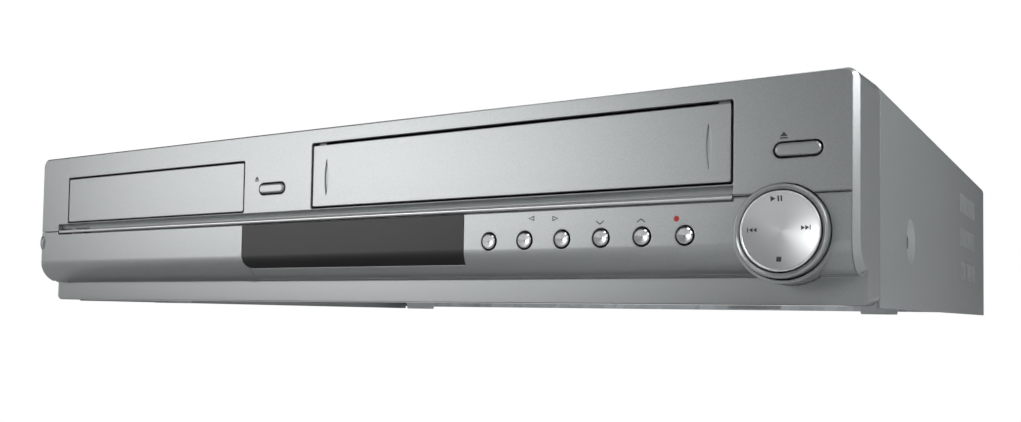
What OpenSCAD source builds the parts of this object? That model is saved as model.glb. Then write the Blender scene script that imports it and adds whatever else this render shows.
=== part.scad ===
// Combined disc and cassette player: a moulded front, a steel case, a disc drive and a tape deck.
// Every size is in millimetres. Modules draw in case coordinates: X to the right, Y from the face to the
// rear, Z up from the skirt's lower edge. in_case() moves them to the frame that stands on the feet.

/* [Case] */
// Width across the steel cover
case_w = 430; // [428:0.5:440]
// Height from the skirt's lower edge to the top
case_h = 75.4; // [75.4:0.2:84]
// Depth from the face to the rear edge of the cover
case_d = 321.5; // [318:0.5:350]
// How far the feet stand below the skirt
foot_h = 1; // [0.8:0.1:2]
// Radius of the feet
foot_r = 11; // [7:0.5:14]
// Thickness of the sheet steel
sheet_t = 1; // [0.8:0.1:1.2]
// Radius of the top corners
corner_r = 4; // [3:0.2:6]

/* [Front moulding] */
// How far each end of the face is set in from the cover's side
face_in = 1.3; // [1:0.1:2.4]
// Depth of the moulded front
flank_d = 25; // [24:0.5:28]
// Wall of the front mouldings
wall = 2.2; // [1.8:0.1:2.4]
// Bevel of the face's right edge, which follows the roll down
side_bevel = 2; // [1:0.1:2.4]
// Bevel of the face's left and top edges
top_bevel = 0.5; // [0.3:0.1:1.2]
// Radius of the roll under the lower panel
roll_r = 11.3; // [11:0.1:12]
// Height where the roll begins
roll_z = 20.6; // [20:0.1:21.5]
// Height of the line between the upper face and the lower panel
part_z = 36.1; // [35.8:0.1:36.4]
// Gap along that line
part_gap = 0.3; // [0.2:0.05:0.5]

/* [Disc tray] */
// Middle of the tray door across the face
tray_x = -125.1; // [-126:0.1:-124]
// Width of the tray door
tray_door_w = 130.8; // [129.2:0.4:131.6]
// Height of the tray door
tray_door_h = 22.4; // [21.5:0.1:22.7]
// Lower edge of both doors' openings
door_z = 40.2; // [40:0.1:40.6]
// Gap around the tray door
tray_door_gap = 0.8; // [0.6:0.1:1]
// How far the tray comes out
tray_travel = 130; // [100:1:130]
// Radius of the disc recess
disc_r = 60.6; // [60.3:0.1:61]

/* [Cassette door] */
// Middle of the cassette door across the face
deck_x = 77.7; // [77:0.1:78.4]
// Width of the cassette door
tape_door_w = 188.6; // [188:0.2:189.4]
// Height of the cassette door
tape_door_h = 26.7; // [26.2:0.1:27.1]
// Gap around the cassette door
tape_door_gap = 1.05; // [0.7:0.05:1.2]

/* [Trim bar] */
// Left end of the groove
trim_x0 = -199; // [-200:0.5:-197]
// Right end of the groove
trim_x1 = 173; // [171:0.5:173.2]
// Radius of the bar's rounded front
trim_r = 0.95; // [0.8:0.05:1]
// Radius of the cove above the bar
cove_r = 2.4; // [2.2:0.1:2.5]
// Length of the power button, the bar's left end
power_l = 22; // [16:0.5:26]

/* [Display window] */
// Left edge of the window
window_x0 = -59.4; // [-60:0.1:-59]
// Right edge of the window
window_x1 = 63.8; // [60:0.1:64.5]
// Lower edge of the window
window_z0 = 14.8; // [14.4:0.1:16]
// Upper edge of the window and of the lower panel below the bar
window_z1 = 34.4; // [34:0.1:34.6]
// Radius of the window's lower left corner
window_r = 5.6; // [4:0.2:6]

/* [Buttons] */
// Middle of the first round button
button_x0 = 75.8; // [75:0.1:76.6]
// Spacing of the round buttons
button_pitch = 16.05; // [15.6:0.05:16.3]
// Height of the round buttons
button_z = 23.5; // [23:0.1:24]
// Radius of a round button
button_r = 2.9; // [2.4:0.1:3.2]
// Gap around a button
button_gap = 0.7; // [0.4:0.1:0.8]
// Radius of a button's stem
stem_r = 1.5; // [1.2:0.1:1.7]
// Travel of a button
press = 1.2; // [0.8:0.1:1.4]
// Middle of the tray button
open_x = -41.3; // [-43:0.1:-40]
// Middle of the cassette eject button
eject_x = 194.6; // [193:0.1:195.5]
// Height of both long buttons
long_z = 50.5; // [49:0.1:52]
// Length of a long button
long_l = 15; // [12:0.2:15.6]
// Height of a long button
long_h = 4.2; // [3.6:0.1:4.6]

/* [Control pad] */
// Middle of the pad across the face
pad_x = 189.7; // [189:0.1:190]
// Height of the pad's middle
pad_z = 23.7; // [23.5:0.1:24]
// Radius of the pad's ring
pad_ring_r = 15.4; // [15:0.1:15.6]
// Radius of the pad
pad_r = 13.1; // [12.8:0.1:13.2]
// How far the ring stands in front of the face
pad_proud = 3.8; // [3:0.1:4.4]
// Depth of the dish in the pad
pad_dish = 1.4; // [0.6:0.1:1.6]

/* [Socket flap] */
// Height of the flap's hinge
hinge_z = 10.9; // [10.8:0.1:11]
// Depth of the flap's hinge behind the face
hinge_y = 9.6; // [9.5:0.1:9.8]
// Radius of the hinge pins
hinge_r = 0.8; // [0.6:0.05:0.9]
// Radius of the hinge roll
hinge_roll_r = 1.5; // [1.4:0.05:1.55]

/* [Tape deck] */
// Height of the deck plate's top
deck_z = 16; // [15.5:0.1:17]
// Thickness of the deck plate
deck_t = 1.6; // [1.2:0.1:2]
// Depth of the cassette holder
holder_d = 50; // [40:1:50]
// Travel of the holder into the deck
load_in = 65; // [50:1:65]
// Travel of the holder down on to the reels
load_down = 15; // [12:0.5:15]
// Radius of the head drum
drum_r = 31; // [28:0.5:31]
// Tilt of the head drum
drum_tilt = 5; // [2:0.5:6]
// Distance between the reels
reel_pitch = 92.5; // [90:0.5:94]
// Radius of the reels' flanges
reel_r = 22; // [16:0.5:23]
// Radius of the pinch roller
pinch_r = 6; // [5:0.2:6.2]

/* [Disc drive] */
// Width of the drive's case
drive_w = 146; // [144:0.5:148]
// Depth of the drive's rear wall behind the face
drive_d = 190; // [176:1:196]
// Width of the tray
tray_w = 126; // [124:0.5:127]
// Module of the tray's gear and rack
gear_m = 1; // [1:0.05:1]
// Teeth of the tray's gear
gear_teeth = 28; // [24:1:28]
// Radius of the spindle's turntable
table_r = 14; // [12:0.5:15]

/* [Sockets] */
// Radius of a phono socket's sleeve
phono_r = 4.15; // [4.1:0.05:4.2]
// Length of a phono socket's sleeve
phono_l = 8; // [7:0.5:8]

/* [Fits] */
// Clearance of a pin in its hole
fit = 0.06; // [0.04:0.01:0.09]
// Clearance between pieces that slide or are dropped in
slip = 0.4; // [0.3:0.05:0.5]
// Gap left at the end of a piece's travel
gap = 0.35; // [0.3:0.05:0.5]

/* [Hidden] */
$fn = 48;

silver = "#b9bcbe";
pale_silver = "#c9cbcc";
chrome = "#d8dadc";
steel = "#9a9da0";
zinc = "#a8adb0";
smoke = "#2c2a2e";
black = "#1b1b1d";
dark_grey = "#3a3b3e";
green = "#2f5d3a";
white_plastic = "#dcdad2";
cream = "#c9c4b4";
amber = "#b8793a";

big = 500;
eps = 0.01;

// The pad stands in front of the face and the sockets behind the cover, so the frame's middle is between them.
rear_proud = phono_l;
face_y = (pad_proud - case_d - rear_proud) / 2;

skirt_y = roll_r;
skirt_z = roll_z - roll_r;
face_half = case_w / 2 - face_in;
flap_end_y = 7.5;
flap_x0 = -face_half + 0.2;
lower_top = part_z - part_gap;
panel_x1 = face_half - wall - 0.1;

module in_case() { translate([0, face_y, foot_h]) children(); }
module box(lo, hi) { translate(lo) cube([hi[0] - lo[0], hi[1] - lo[1], hi[2] - lo[2]]); }
// Extrudes a (Y, Z) section along X, an (X, Z) outline along Y, and an (X, Y) outline along Z.
module along_x(x0, x1) { translate([x0, 0, 0]) rotate([90, 0, 90]) linear_extrude(x1 - x0) children(); }
module along_y(y0, y1) { translate([0, y1, 0]) rotate([90, 0, 0]) linear_extrude(y1 - y0) children(); }
module along_z(z0, z1) { translate([0, 0, z0]) linear_extrude(z1 - z0) children(); }
module rod_x(y, z, r, x0, x1) { translate([x0, y, z]) rotate([0, 90, 0]) cylinder(h = x1 - x0, r = r); }
module rod_y(x, z, r, y0, y1) { translate([x, y1, z]) rotate([90, 0, 0]) cylinder(h = y1 - y0, r = r); }
module rod_z(x, y, r, z0, z1) { translate([x, y, z0]) cylinder(h = z1 - z0, r = r); }
module tube_y(x, z, r_out, r_in, y0, y1) {
    difference() {
        rod_y(x, z, r_out, y0, y1);
        rod_y(x, z, r_in, y0 - 1, y1 + 1);
    }
}
module tube_z(x, y, r_out, r_in, z0, z1) {
    difference() {
        rod_z(x, y, r_out, z0, z1);
        rod_z(x, y, r_in, z0 - 1, z1 + 1);
    }
}
module mirrored_x(x) { children(); translate([2 * x, 0, 0]) mirror([1, 0, 0]) children(); }
// A rectangle from (x0, z0) to (x1, z1) with rounded corners, and one with round ends.
module round_rect(x0, z0, x1, z1, r) {
    translate([x0 + r, z0]) square([x1 - x0 - 2 * r, z1 - z0]);
    translate([x0, z0 + r]) square([x1 - x0, z1 - z0 - 2 * r]);
    for (x = [x0 + r, x1 - r], z = [z0 + r, z1 - r]) translate([x, z]) circle(r);
}
module stadium(x, z, l, h) {
    translate([x - (l - h) / 2, z - h / 2]) square([l - h, h]);
    for (s = [-1, 1]) translate([x + s * (l - h) / 2, z]) circle(h / 2);
}
module slot_x(y, z, l, h) { translate([y, z]) stadium(0, 0, l, h); }

// ---------------------------------------------------------------- front mouldings

// Section of the whole front: upper face, roll and set-back skirt, each moved in by inset.
module side_section(inset) {
    top = case_h - inset;
    y1 = flank_d + 5;
    polygon([[inset, roll_z], [y1, roll_z], [y1, top], [inset + top_bevel, top], [inset, top - top_bevel]]);
    translate([roll_r, roll_z]) circle(roll_r - inset, $fn = 96);
    translate([roll_r, skirt_z + inset]) square([y1 - roll_r, roll_z]);
    translate([skirt_y + inset, inset]) square([y1 - skirt_y - inset, roll_z]);
}
module plan_outline(inset) {
    f = face_half - inset;
    y1 = flank_d + 5;
    c = case_w / 2 - inset + face_in / flank_d * 5;
    polygon([[top_bevel - f, inset], [f - side_bevel, inset], [f, inset + side_bevel], [c, y1], [-c, y1],
        [-f, inset + top_bevel]]);
}
// What the rounding takes off an upper corner: it leans out with the flank, and its front edge is bevelled.
module corner_cut(s, bevel) {
    lean = atan((case_w / 2 - face_half) / (flank_d - bevel));
    // both rounded surfaces reach this far past the flat ones, so that they cross at a clear angle
    cross = 0.02;
    translate([s * (face_half - corner_r), bevel, case_h - corner_r + cross]) rotate([0, 0, -s * lean]) difference() {
        box([min(0, s * big), -5, 0], [max(0, s * big), flank_d, corner_r + 1]);
        rod_y(0, 0, corner_r, -6, flank_d + 1);
    }
    front_r = corner_r - bevel + top_bevel;
    translate([s * (face_half - bevel - front_r + cross), 0, case_h - top_bevel - front_r + cross]) difference() {
        box([min(0, s * big), -0.1, 0], [max(0, s * big), bevel, corner_r + 1]);
        translate([0, -0.2, 0]) rotate([-90, 0, 0])
            cylinder(h = bevel + 0.3, r1 = front_r - 0.2, r2 = front_r + bevel + 0.1, $fn = 96);
    }
}
// What the right edge's bevel takes off the roll: all that lies outside a cone.
module roll_end_cut() {
    x0 = face_half - side_bevel - 0.1;
    h = side_bevel + 3;
    difference() {
        box([x0, -1, skirt_z - 1], [big, roll_r, roll_z]);
        translate([x0, roll_r, roll_z]) rotate([0, 90, 0])
            cylinder(h = h, r1 = roll_r + 0.1, r2 = roll_r + 0.1 - h, $fn = 96);
    }
}
module front_block(inset, y1) {
    intersection() {
        along_x(-big, big) side_section(inset);
        along_z(0, case_h) plan_outline(inset);
        along_y(-1, y1) face_outline(inset);
    }
}
// The front's outline is rounded at its lower corners; corner_cut() rounds the upper ones.
module face_outline(inset) {
    round_rect(-case_w / 2 + inset, inset, case_w / 2 - inset, case_h + 20, corner_r - inset * 0.8);
}
// The thin shell that follows the face and the roll, ending above the hinge.
module roll_shell(x0, x1, z1) {
    intersection() {
        along_x(x0, x1) difference() {
            side_section(0);
            side_section(wall);
        }
        along_x(x0, x1) difference() {
            translate([-1, skirt_z]) square([flap_end_y + 1.8, z1 - skirt_z]);
            translate([flap_end_y, 0]) square([10, skirt_z + 1]);
            translate([hinge_y, hinge_z]) circle(hinge_roll_r + slip);
        }
        along_z(0, case_h) plan_outline(0);
    }
}
module window_outline(grow) {
    x0 = window_x0 - grow;
    x1 = window_x1 + grow;
    z0 = window_z0 - grow;
    r = window_r + grow;
    translate([x0 + r, z0]) square([x1 - x0 - r, window_z1 + 1 - z0]);
    translate([x0, z0 + r]) square([r + 1, window_z1 + 1 - z0 - r]);
    translate([x0 + r, z0 + r]) circle(r);
}
// Where the flap ends: the window's left edge and corner, then a seam straight down to the skirt.
seam_x = window_x0 + 4.1;
module flap_region(gap) {
    difference() {
        polygon([[-big, -10], [seam_x - gap, -10], [seam_x - gap, window_z0 + window_r],
            [window_x0 - gap, window_z0 + window_r], [window_x0 - gap, big], [-big, big]]);
        window_outline(gap);
    }
}
tray_open_w = tray_door_w + 2 * tray_door_gap;
tray_open_h = tray_door_h + 2 * tray_door_gap;
tape_open_w = tape_door_w + 2 * tape_door_gap;
tape_open_h = tape_door_h + 2 * tape_door_gap;
tray_door_z = door_z + tray_door_gap - 0.1;
tape_door_z = door_z + tape_door_gap - 0.15;
door_axis_y = 4;
door_axis_z = door_z + tape_open_h + 1.1;
door_pin_r = 0.9;
bar_z = part_z - 0.15;
bar_y = trim_r + 0.1;
power_x = trim_x0 + 0.3 + power_l / 2;
power_end = wall + 7;
knuckle_w = 6.3;
knuckles = [-204.5, window_x0 - 4];
guide_y0 = 7;
guide_y1 = 9.5;

module door_boss(side) {
    x = deck_x + side * (tape_open_w / 2 + 2.2);
    difference() {
        box([x - 2, wall - 0.5, door_axis_z - 3], [x + 2, door_axis_y + 3, case_h - wall + 0.5]);
        rod_x(door_axis_y, door_axis_z, door_pin_r + fit, x - 3, x + 3);
    }
}
module long_guide(x) {
    tube_y(x, long_z, stem_r + 1.6, stem_r + fit, guide_y0, guide_y1);
    for (s = [-1, 1]) {
        box([x + s * 5.4 - 3.2, guide_y0, long_z - 1.5], [x + s * 5.4 + 3.2, guide_y1, long_z + 1.5]);
        box([x + s * (long_l / 2 + 1.6) - 0.9, wall - 0.5, long_z - 1.5],
            [x + s * (long_l / 2 + 1.6) + 0.9, guide_y1, long_z + 1.5]);
    }
}
module front_panel() color(silver) in_case() {
    difference() {
        union() {
            difference() {
                front_block(0, flank_d);
                front_block(wall, flank_d + 1);
                corner_cut(-1, top_bevel);
                corner_cut(1, side_bevel);
                roll_end_cut();
                // room for the lower panel and the flap
                box([-face_half + wall, -1, skirt_z + 0.6], [face_half - wall, skirt_y + wall, part_z]);
            }
            // rib behind the trim bar
            box([trim_x0 + power_l + 1.5, wall - 0.4, part_z - 1.4], [trim_x1, wall + 2.4, door_z]);
            box([trim_x0 - 1, wall - 0.4, part_z + 1.3], [trim_x0 + power_l + 1.5, wall + 2.4, door_z]);
            door_boss(-1);
            door_boss(1);
            long_guide(open_x);
            long_guide(eject_x);
            // lug that guides the power button
            box([power_x - 5, wall + 2, part_z - 2.4], [power_x + 5, wall + 4, door_z - 0.4]);
            box([power_x - 5, wall - 0.4, part_z + 1.3], [power_x + 5, wall + 4, door_z - 0.4]);
        }
        // the left flank ends behind the flap
        intersection() {
            along_x(-big, -face_half + wall + eps) difference() {
                translate([-5, skirt_z - 1]) square([flank_d, part_z - skirt_z + 1]);
                side_section(wall + slip);
            }
            box([-big, -1, skirt_z + 0.6], [0, hinge_y + 2, part_z]);
        }
        intersection() {
            along_x(-big, seam_x + part_gap) translate([hinge_y, hinge_z]) circle(hinge_roll_r + 1.3);
            box([-big, 0, skirt_z - 2], [big, hinge_y + 1.7, hinge_z]);
        }
        // openings for the doors, the long buttons and the pad
        along_y(-1, wall + 1) round_rect(tray_x - tray_open_w / 2, door_z, tray_x + tray_open_w / 2,
            door_z + tray_open_h, 1);
        along_y(-1, wall + 1) round_rect(deck_x - tape_open_w / 2, door_z, deck_x + tape_open_w / 2,
            door_z + tape_open_h, 1);
        for (x = [open_x, eject_x])
            along_y(-1, wall + 1) stadium(x, long_z, long_l + 2 * button_gap, long_h + 2 * button_gap);
        // bevel under the face, right of the trim bar
        along_x(trim_x1 + 0.2, panel_x1) translate([0, part_z]) rotate(45) square(1, center = true);
        pad_room();
        // cove and slot of the trim bar
        rod_x(0, part_z + 1.25, cove_r, trim_x0, trim_x1);
        box([trim_x0, -1, 0], [trim_x1, bar_y + 1.7, part_z + 1]);
        rod_y(power_x, bar_z, stem_r + fit, 0, 8);
    }
    // hinge roll and the strip that joins it to the skirt
    difference() {
        union() {
            rod_x(hinge_y, hinge_z, hinge_roll_r, -face_half + wall - 1, face_half - wall + 1);
            box([-face_half + wall - 1, hinge_y, skirt_z + 0.5], [face_half - wall + 1, skirt_y + wall, hinge_z + 0.5]);
            box([-face_half + wall - 1, skirt_y, skirt_z - 1], [face_half - wall + 1, skirt_y + wall, hinge_z + 0.5]);
        }
        for (x = knuckles) {
            box([x - knuckle_w / 2 - slip, -1, skirt_z - 1.6],
                [x + knuckle_w / 2 + slip, skirt_y + wall + 1, hinge_z + 3]);
            rod_x(hinge_y, hinge_z, hinge_r + fit, x - knuckle_w / 2 - 3, x + knuckle_w / 2 + 3);
        }
        pad_room();
    }
}

boss_r = pad_ring_r + 1.6;
groove_a = 66;
module pad_room() {
    rod_y(pad_x, pad_z, pad_ring_r + 0.6, -1, 14);
    intersection() {
        rod_y(pad_x, pad_z, boss_r + fit, -1, 14);
        box([0, -1, 0], [big, 14, part_z]);
    }
}
button_count = 6;
stem_end = 11.2;
button_x1 = button_x0 + (button_count - 1) * button_pitch;
module lower_panel() color(silver) in_case() {
    difference() {
        union() {
            difference() {
                roll_shell(-big, panel_x1, lower_top);
                along_y(-1, 20) flap_region(0);
                box([-big, -1, window_z1], [trim_x1 + 0.2, 20, big]);
            }
            // collar round the pad, and the guide strip for the stems
            intersection() {
                rod_y(pad_x, pad_z, boss_r, 0, 11.2);
                box([0, -1, 0], [panel_x1, 20, lower_top]);
            }
            box([button_x0 - 7, guide_y0, button_z - 4], [button_x1 + 6, guide_y1, button_z + 4]);
            for (x = [button_x0 - 7, button_x0 + 2.5 * button_pitch, button_x1 + 4])
                box([x - 0.8, wall - 0.5, button_z - 3], [x + 0.8, guide_y1, button_z + 4]);
        }
        // bevelled top edge right of the trim bar
        along_x(trim_x1 + 0.2, big) translate([0, lower_top]) rotate(45) square(0.6, center = true);
        // groove along the roll
        rod_x(roll_r * (1 - cos(groove_a)), roll_z - roll_r * sin(groove_a), 0.25, seam_x, big);
        along_y(-1, 14) window_outline(part_gap / 2);
        rod_y(pad_x, pad_z, pad_ring_r + 0.5, -1, 20);
        for (i = [0 : button_count - 1]) {
            rod_y(button_x0 + i * button_pitch, button_z, button_r + button_gap, -1, wall + 2);
            rod_y(button_x0 + i * button_pitch, button_z, stem_r + fit, 0, 12);
        }
    }
    // ledge that holds the window's lower edge
    intersection() {
        along_x(window_x0 + window_r, window_x1 - 1) difference() {
            side_section(wall);
            side_section(wall + 1.2);
        }
        box([-big, 0, window_z0 - 3], [big, 6, window_z0 + 2]);
    }
}
module display_window() color(smoke) in_case() {
    intersection() {
        along_x(window_x0, window_x1) difference() {
            side_section(0);
            side_section(wall - 0.1);
        }
        along_y(-1, 14) window_outline(0);
        box([-big, -1, 0], [big, 14, window_z1]);
    }
}
module bar_section() {
    circle(trim_r);
    translate([0, -trim_r]) square([1.6, 2 * trim_r]);
}
module trim_bar() color(pale_silver) in_case() {
    x0 = trim_x0 + power_l + 0.7;
    x1 = trim_x1 - 0.4;
    // its right end is round
    end_h = 2.6;
    intersection() {
        along_x(x0, x1) translate([bar_y, bar_z]) bar_section();
        along_y(-2, 5) stadium((x0 - end_h + x1) / 2, bar_z, x1 - x0 + end_h, end_h);
    }
}
module power_button() color(pale_silver) in_case() {
    along_x(power_x - power_l / 2, power_x + power_l / 2) translate([bar_y, bar_z]) intersection() {
        bar_section();
        translate([-2, -2]) square([2.5, 4]);
    }
    rod_y(power_x, bar_z, stem_r, bar_y, power_end);
}
module pad_ring() color(pale_silver) in_case() {
    r_in = pad_r + pad_gap;
    crest = 0.55;
    // the crest is near the ring's outside, and the lip slopes from it down to the pad
    translate([pad_x, -pad_proud, pad_z]) rotate([-90, 0, 0]) rotate_extrude($fn = 96) {
        translate([pad_ring_r - crest, crest]) circle(crest, $fn = 32);
        polygon([[r_in, 1], [pad_ring_r - crest - 0.2, 0.12], [pad_ring_r - crest, crest], [pad_ring_r, crest],
            [pad_ring_r, pad_proud + 12], [r_in, pad_proud + 12]]);
    }
    difference() {
        union() {
            tube_y(pad_x, pad_z, pad_ring_r + 1.2, r_in, 11.5, 12.7);
            box([pad_x - r_in - 1, 10.7, pad_z - 2.2], [pad_x + r_in + 1, 12.7, pad_z + 2.2]);
            for (s = [-1, 1])
                box([pad_x + s * 9.3 - 0.8, 2.6, pad_z - 2.2], [pad_x + s * 9.3 + 0.8, 12, pad_z + 2.2]);
        }
        rod_x(gimbal_y, pad_z, gimbal_pin_r + fit, pad_x - 12, pad_x + 12);
        for (s = [-1, 1]) rod_y(pad_x + s * post_at, pad_z, 1.9, 8, 14);
    }
}
pad_gap = 0.5;
pad_rock = 0.35;
gimbal_y = 4.6;
gimbal_pin_r = 0.8;
post_at = 11.9;
post_end = 10.6;
module pad_gimbal() color(dark_grey) in_case() {
    difference() {
        tube_y(pad_x, pad_z, 8, 6, gimbal_y - 1.6, gimbal_y + 1.6);
        translate([pad_x, gimbal_y, pad_z - 10]) cylinder(h = 20, r = gimbal_pin_r + fit);
    }
    for (s = [-1, 1]) {
        a = pad_x + s * 7.6;
        b = pad_x + s * 9.9;
        rod_x(gimbal_y, pad_z, gimbal_pin_r, min(a, b), max(a, b));
    }
}
module control_pad() color(silver) in_case() {
    front = -pad_proud + 0.5;
    rim = 0.4;
    dish_r = ((pad_r - rim) * (pad_r - rim) + pad_dish * pad_dish) / (2 * pad_dish);
    difference() {
        translate([pad_x, front, pad_z]) rotate([-90, 0, 0]) rotate_extrude($fn = 96) {
            translate([pad_r - rim, rim]) circle(rim, $fn = 32);
            translate([0, rim]) square([pad_r, 3 - rim]);
            square([pad_r - rim, 3]);
        }
        translate([pad_x, front + pad_dish - dish_r, pad_z]) sphere(dish_r, $fn = 128);
    }
    rod_y(pad_x, pad_z, 4, front + 2.5, gimbal_y + 1.4);
    translate([pad_x, gimbal_y, pad_z - 7.8]) cylinder(h = 15.6, r = gimbal_pin_r);
    for (a = [0, 90, 180, 270])
        rod_y(pad_x + post_at * cos(a), pad_z + post_at * sin(a), 1, front + 2.5, post_end);
}
long_proud = 0.9;
long_round = 0.8;
module long_button(x) color(silver) in_case() {
    r = long_h / 2;
    depth = wall + long_proud;
    // a bar with round ends, its front edge rounded all the way round
    for (s = [-1, 1]) translate([x + s * (long_l / 2 - r), -long_proud, long_z]) rotate([-90, 0, 0]) rotate_extrude() {
        square([r - long_round, depth]);
        translate([0, long_round]) square([r, depth - long_round]);
        intersection() {
            translate([r - long_round, long_round]) circle(long_round);
            square([r, depth]);
        }
    }
    along_x(x - long_l / 2 + r, x + long_l / 2 - r) translate([-long_proud, long_z]) {
        translate([0, long_round - r]) square([depth, 2 * (r - long_round)]);
        translate([long_round, -r]) square([depth - long_round, 2 * r]);
        for (s = [-1, 1]) translate([long_round, s * (r - long_round)]) circle(long_round);
    }
    rod_y(x, long_z, stem_r, wall - 0.1, stem_end);
}
module open_button() long_button(open_x);
module eject_button() long_button(eject_x);
module round_button(i) color(chrome) in_case() {
    x = button_x0 + i * button_pitch;
    translate([x, 0, button_z]) rotate([-90, 0, 0]) rotate_extrude()
        polygon([[0, -0.1], [button_r - 0.5, -0.7], [button_r, -0.3], [button_r, wall + 1.2], [0, wall + 1.2]]);
    rod_y(x, button_z, stem_r, wall + 1, stem_end);
}
module source_button() round_button(0);
module copy_disc_button() round_button(1);
module copy_tape_button() round_button(2);
module channel_down_button() round_button(3);
module channel_up_button() round_button(4);
module record_button() round_button(5);

module av_flap() color(silver) in_case() {
    difference() {
        roll_shell(flap_x0, big, lower_top);
        along_y(-1, 20) difference() {
            translate([-big, -big]) square(2 * big);
            flap_region(part_gap);
        }
        box([trim_x0 - 0.3, -1, window_z1], [big, 20, big]);
    }
    for (x = knuckles) {
        rod_x(hinge_y, hinge_z, hinge_roll_r + 0.2, x - knuckle_w / 2, x + knuckle_w / 2);
        along_x(x - knuckle_w / 2, x + knuckle_w / 2) polygon([[flap_end_y - 0.6, skirt_z + 1.05],
            [hinge_y, hinge_z - hinge_roll_r], [hinge_y, hinge_z + hinge_roll_r], [flap_end_y + 0.2, hinge_z + 1.6]]);
        rod_x(hinge_y, hinge_z, hinge_r, x - knuckle_w / 2 - 2.4, x + knuckle_w / 2 + 2.4);
    }
    // finger ridge at the left end, a low arch
    arch_r = 8;
    along_x(flap_x0, flap_x0 + 2.5) intersection() {
        translate([arch_r - 0.8, window_z1 - 4.1]) circle(arch_r);
        translate([-2, window_z1 - 9]) square([2.5, 9]);
    }
}

// ---------------------------------------------------------------- behind the front

bay_x0 = -207;
bay_x1 = -63;
bay_y0 = 22.5;
bay_y1 = 24;
bay_z0 = 12;
bay_z1 = 36;
jack_z = 23;
jack_xs = [-186, -170, -154];
module av_jack_panel() color(dark_grey) in_case() difference() {
    union() {
        box([bay_x0, bay_y0, bay_z0], [bay_x1, bay_y1, bay_z1]);
        // stiffening rims behind the plate's upper and lower edges
        for (z = [bay_z0, bay_z1 - 1.5]) box([bay_x0, bay_y1 - 0.1, z], [bay_x1, bay_y1 + 3, z + 1.5]);
    }
    for (x = jack_xs) rod_y(x, jack_z, phono_r + 0.2, bay_y0 - 1, bay_y1 + 1);
    box([-134, bay_y0 - 1, jack_z - 2.4], [-127, bay_y1 + 1, jack_z + 2.4]);
}
module front_jacks() color(white_plastic) in_case() {
    for (x = jack_xs) {
        tube_y(x, jack_z, phono_r, 1.7, bay_y0 - phono_l, bay_y1 + 0.2);
        box([x - 6, bay_y1 + 0.1, jack_z - 8], [x + 6, bay_y1 + 9, jack_z + 6]);
    }
    difference() {
        box([-133.8, bay_y0 - 0.6, jack_z - 2.2], [-127.2, bay_y1 + 9.2, jack_z + 2.2]);
        box([-133.2, bay_y0 - 1, jack_z - 1.6], [-127.8, bay_y1 + 4, jack_z + 1.6]);
    }
    box([-204, bay_y1 + 8.9, bay_z0 + 2], [-112, bay_y1 + 10.5, bay_z1 - 3]);
}

module lens_mark(x) {
    h = 16;
    w = 1.7;
    r = (h * h / 4 + w * w / 4) / w;
    along_y(-1, 0.7) translate([x, tape_door_z + 12.5]) intersection() {
        translate([r - w / 2, 0]) circle(r, $fn = 200);
        translate([w / 2 - r, 0]) circle(r, $fn = 200);
    }
}
module cassette_door() color(silver) in_case() {
    x0 = deck_x - tape_door_w / 2;
    x1 = deck_x + tape_door_w / 2;
    difference() {
        along_y(0.2, 2.2) round_rect(x0, tape_door_z, x1, tape_door_z + tape_door_h, 0.8);
        lens_mark(x0 + 7.6);
        lens_mark(x1 - 7.8);
    }
    for (s = [-1, 1]) {
        x = deck_x + s * (tape_door_w / 2 - 3);
        box([x - 2, 2, door_axis_z - 6], [x + 2, 5.4, door_axis_z - 1.9]);
        box([x - 2, 2.6, door_axis_z - 3], [x + 2, 5.4, door_axis_z]);
        rod_x(door_axis_y, door_axis_z, 1.4, x - 2, x + 2);
        end = deck_x + s * (tape_open_w / 2 + 3.6);
        rod_x(door_axis_y, door_axis_z, door_pin_r, min(x, end), max(x, end));
    }
    rod_x(door_axis_y, door_axis_z, door_pin_r, x1 - 13, x1 - 3);
}
// Close-wound torsion spring round the door's right pin, drawn coil by coil.
wire_r = 0.27;
coils = 9;
module door_spring() color(steel) in_case() {
    x = deck_x + tape_door_w / 2 - 12;
    for (i = [0 : coils - 1]) translate([x + i * wire_r * 1.96, door_axis_y, door_axis_z]) rotate([0, 90, 0])
        rotate_extrude() translate([door_pin_r + wire_r + 0.03, 0]) circle(wire_r, $fn = 16);
}
board_y = 14.7;
board_t = 1.4;
module tact_switch(x, z, y0) {
    rod_y(x, z, 1.4, y0, board_y);
    box([x - 3, board_y - 1.6, z - 3], [x + 3, board_y + 0.1, z + 3]);
}
module front_board() color(green) in_case() {
    box([window_x0 + 6, board_y, 13], [face_half - 5, board_y + board_t, 34]);
    color(dark_grey) {
        for (i = [0 : button_count - 1])
            tact_switch(button_x0 + i * button_pitch, button_z, stem_end + press + gap);
        for (a = [0, 90, 180, 270])
            tact_switch(pad_x + post_at * cos(a), pad_z + post_at * sin(a), post_end + pad_rock + gap);
    }
    box([pad_x - 15.5, board_y, pad_z - 15.5], [pad_x + 15.5, board_y + board_t, pad_z + 15.5]);
    for (x = [open_x, eject_x]) {
        box([x - 5, board_y + 0.2, 30], [x + 5, board_y + board_t, long_z + 4]);
        color(dark_grey) tact_switch(x, long_z, stem_end + press + gap);
    }
    // the power switch has a small board of its own, on a post from the socket panel
    box([power_x - 7, board_y, bar_z - 6], [power_x + 7, board_y + board_t, bar_z + 4]);
    color(dark_grey) tact_switch(power_x, bar_z, power_end + press + gap);
    rod_y(power_x, bar_z - 3, 2, board_y + board_t - 0.1, bay_y0);
}
module display_tube() color("#4c5a58") in_case() {
    x0 = window_x0 + 7;
    x1 = window_x1 - 6;
    box([x0, 6, 17.2], [x1, 11.5, 32]);
    for (x = [x0 + 4 : 8 : x1 - 4], z = [18.5, 30.8]) box([x, 11.4, z - 0.3], [x + 0.6, board_y, z + 0.3]);
}

// ---------------------------------------------------------------- steel case

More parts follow.
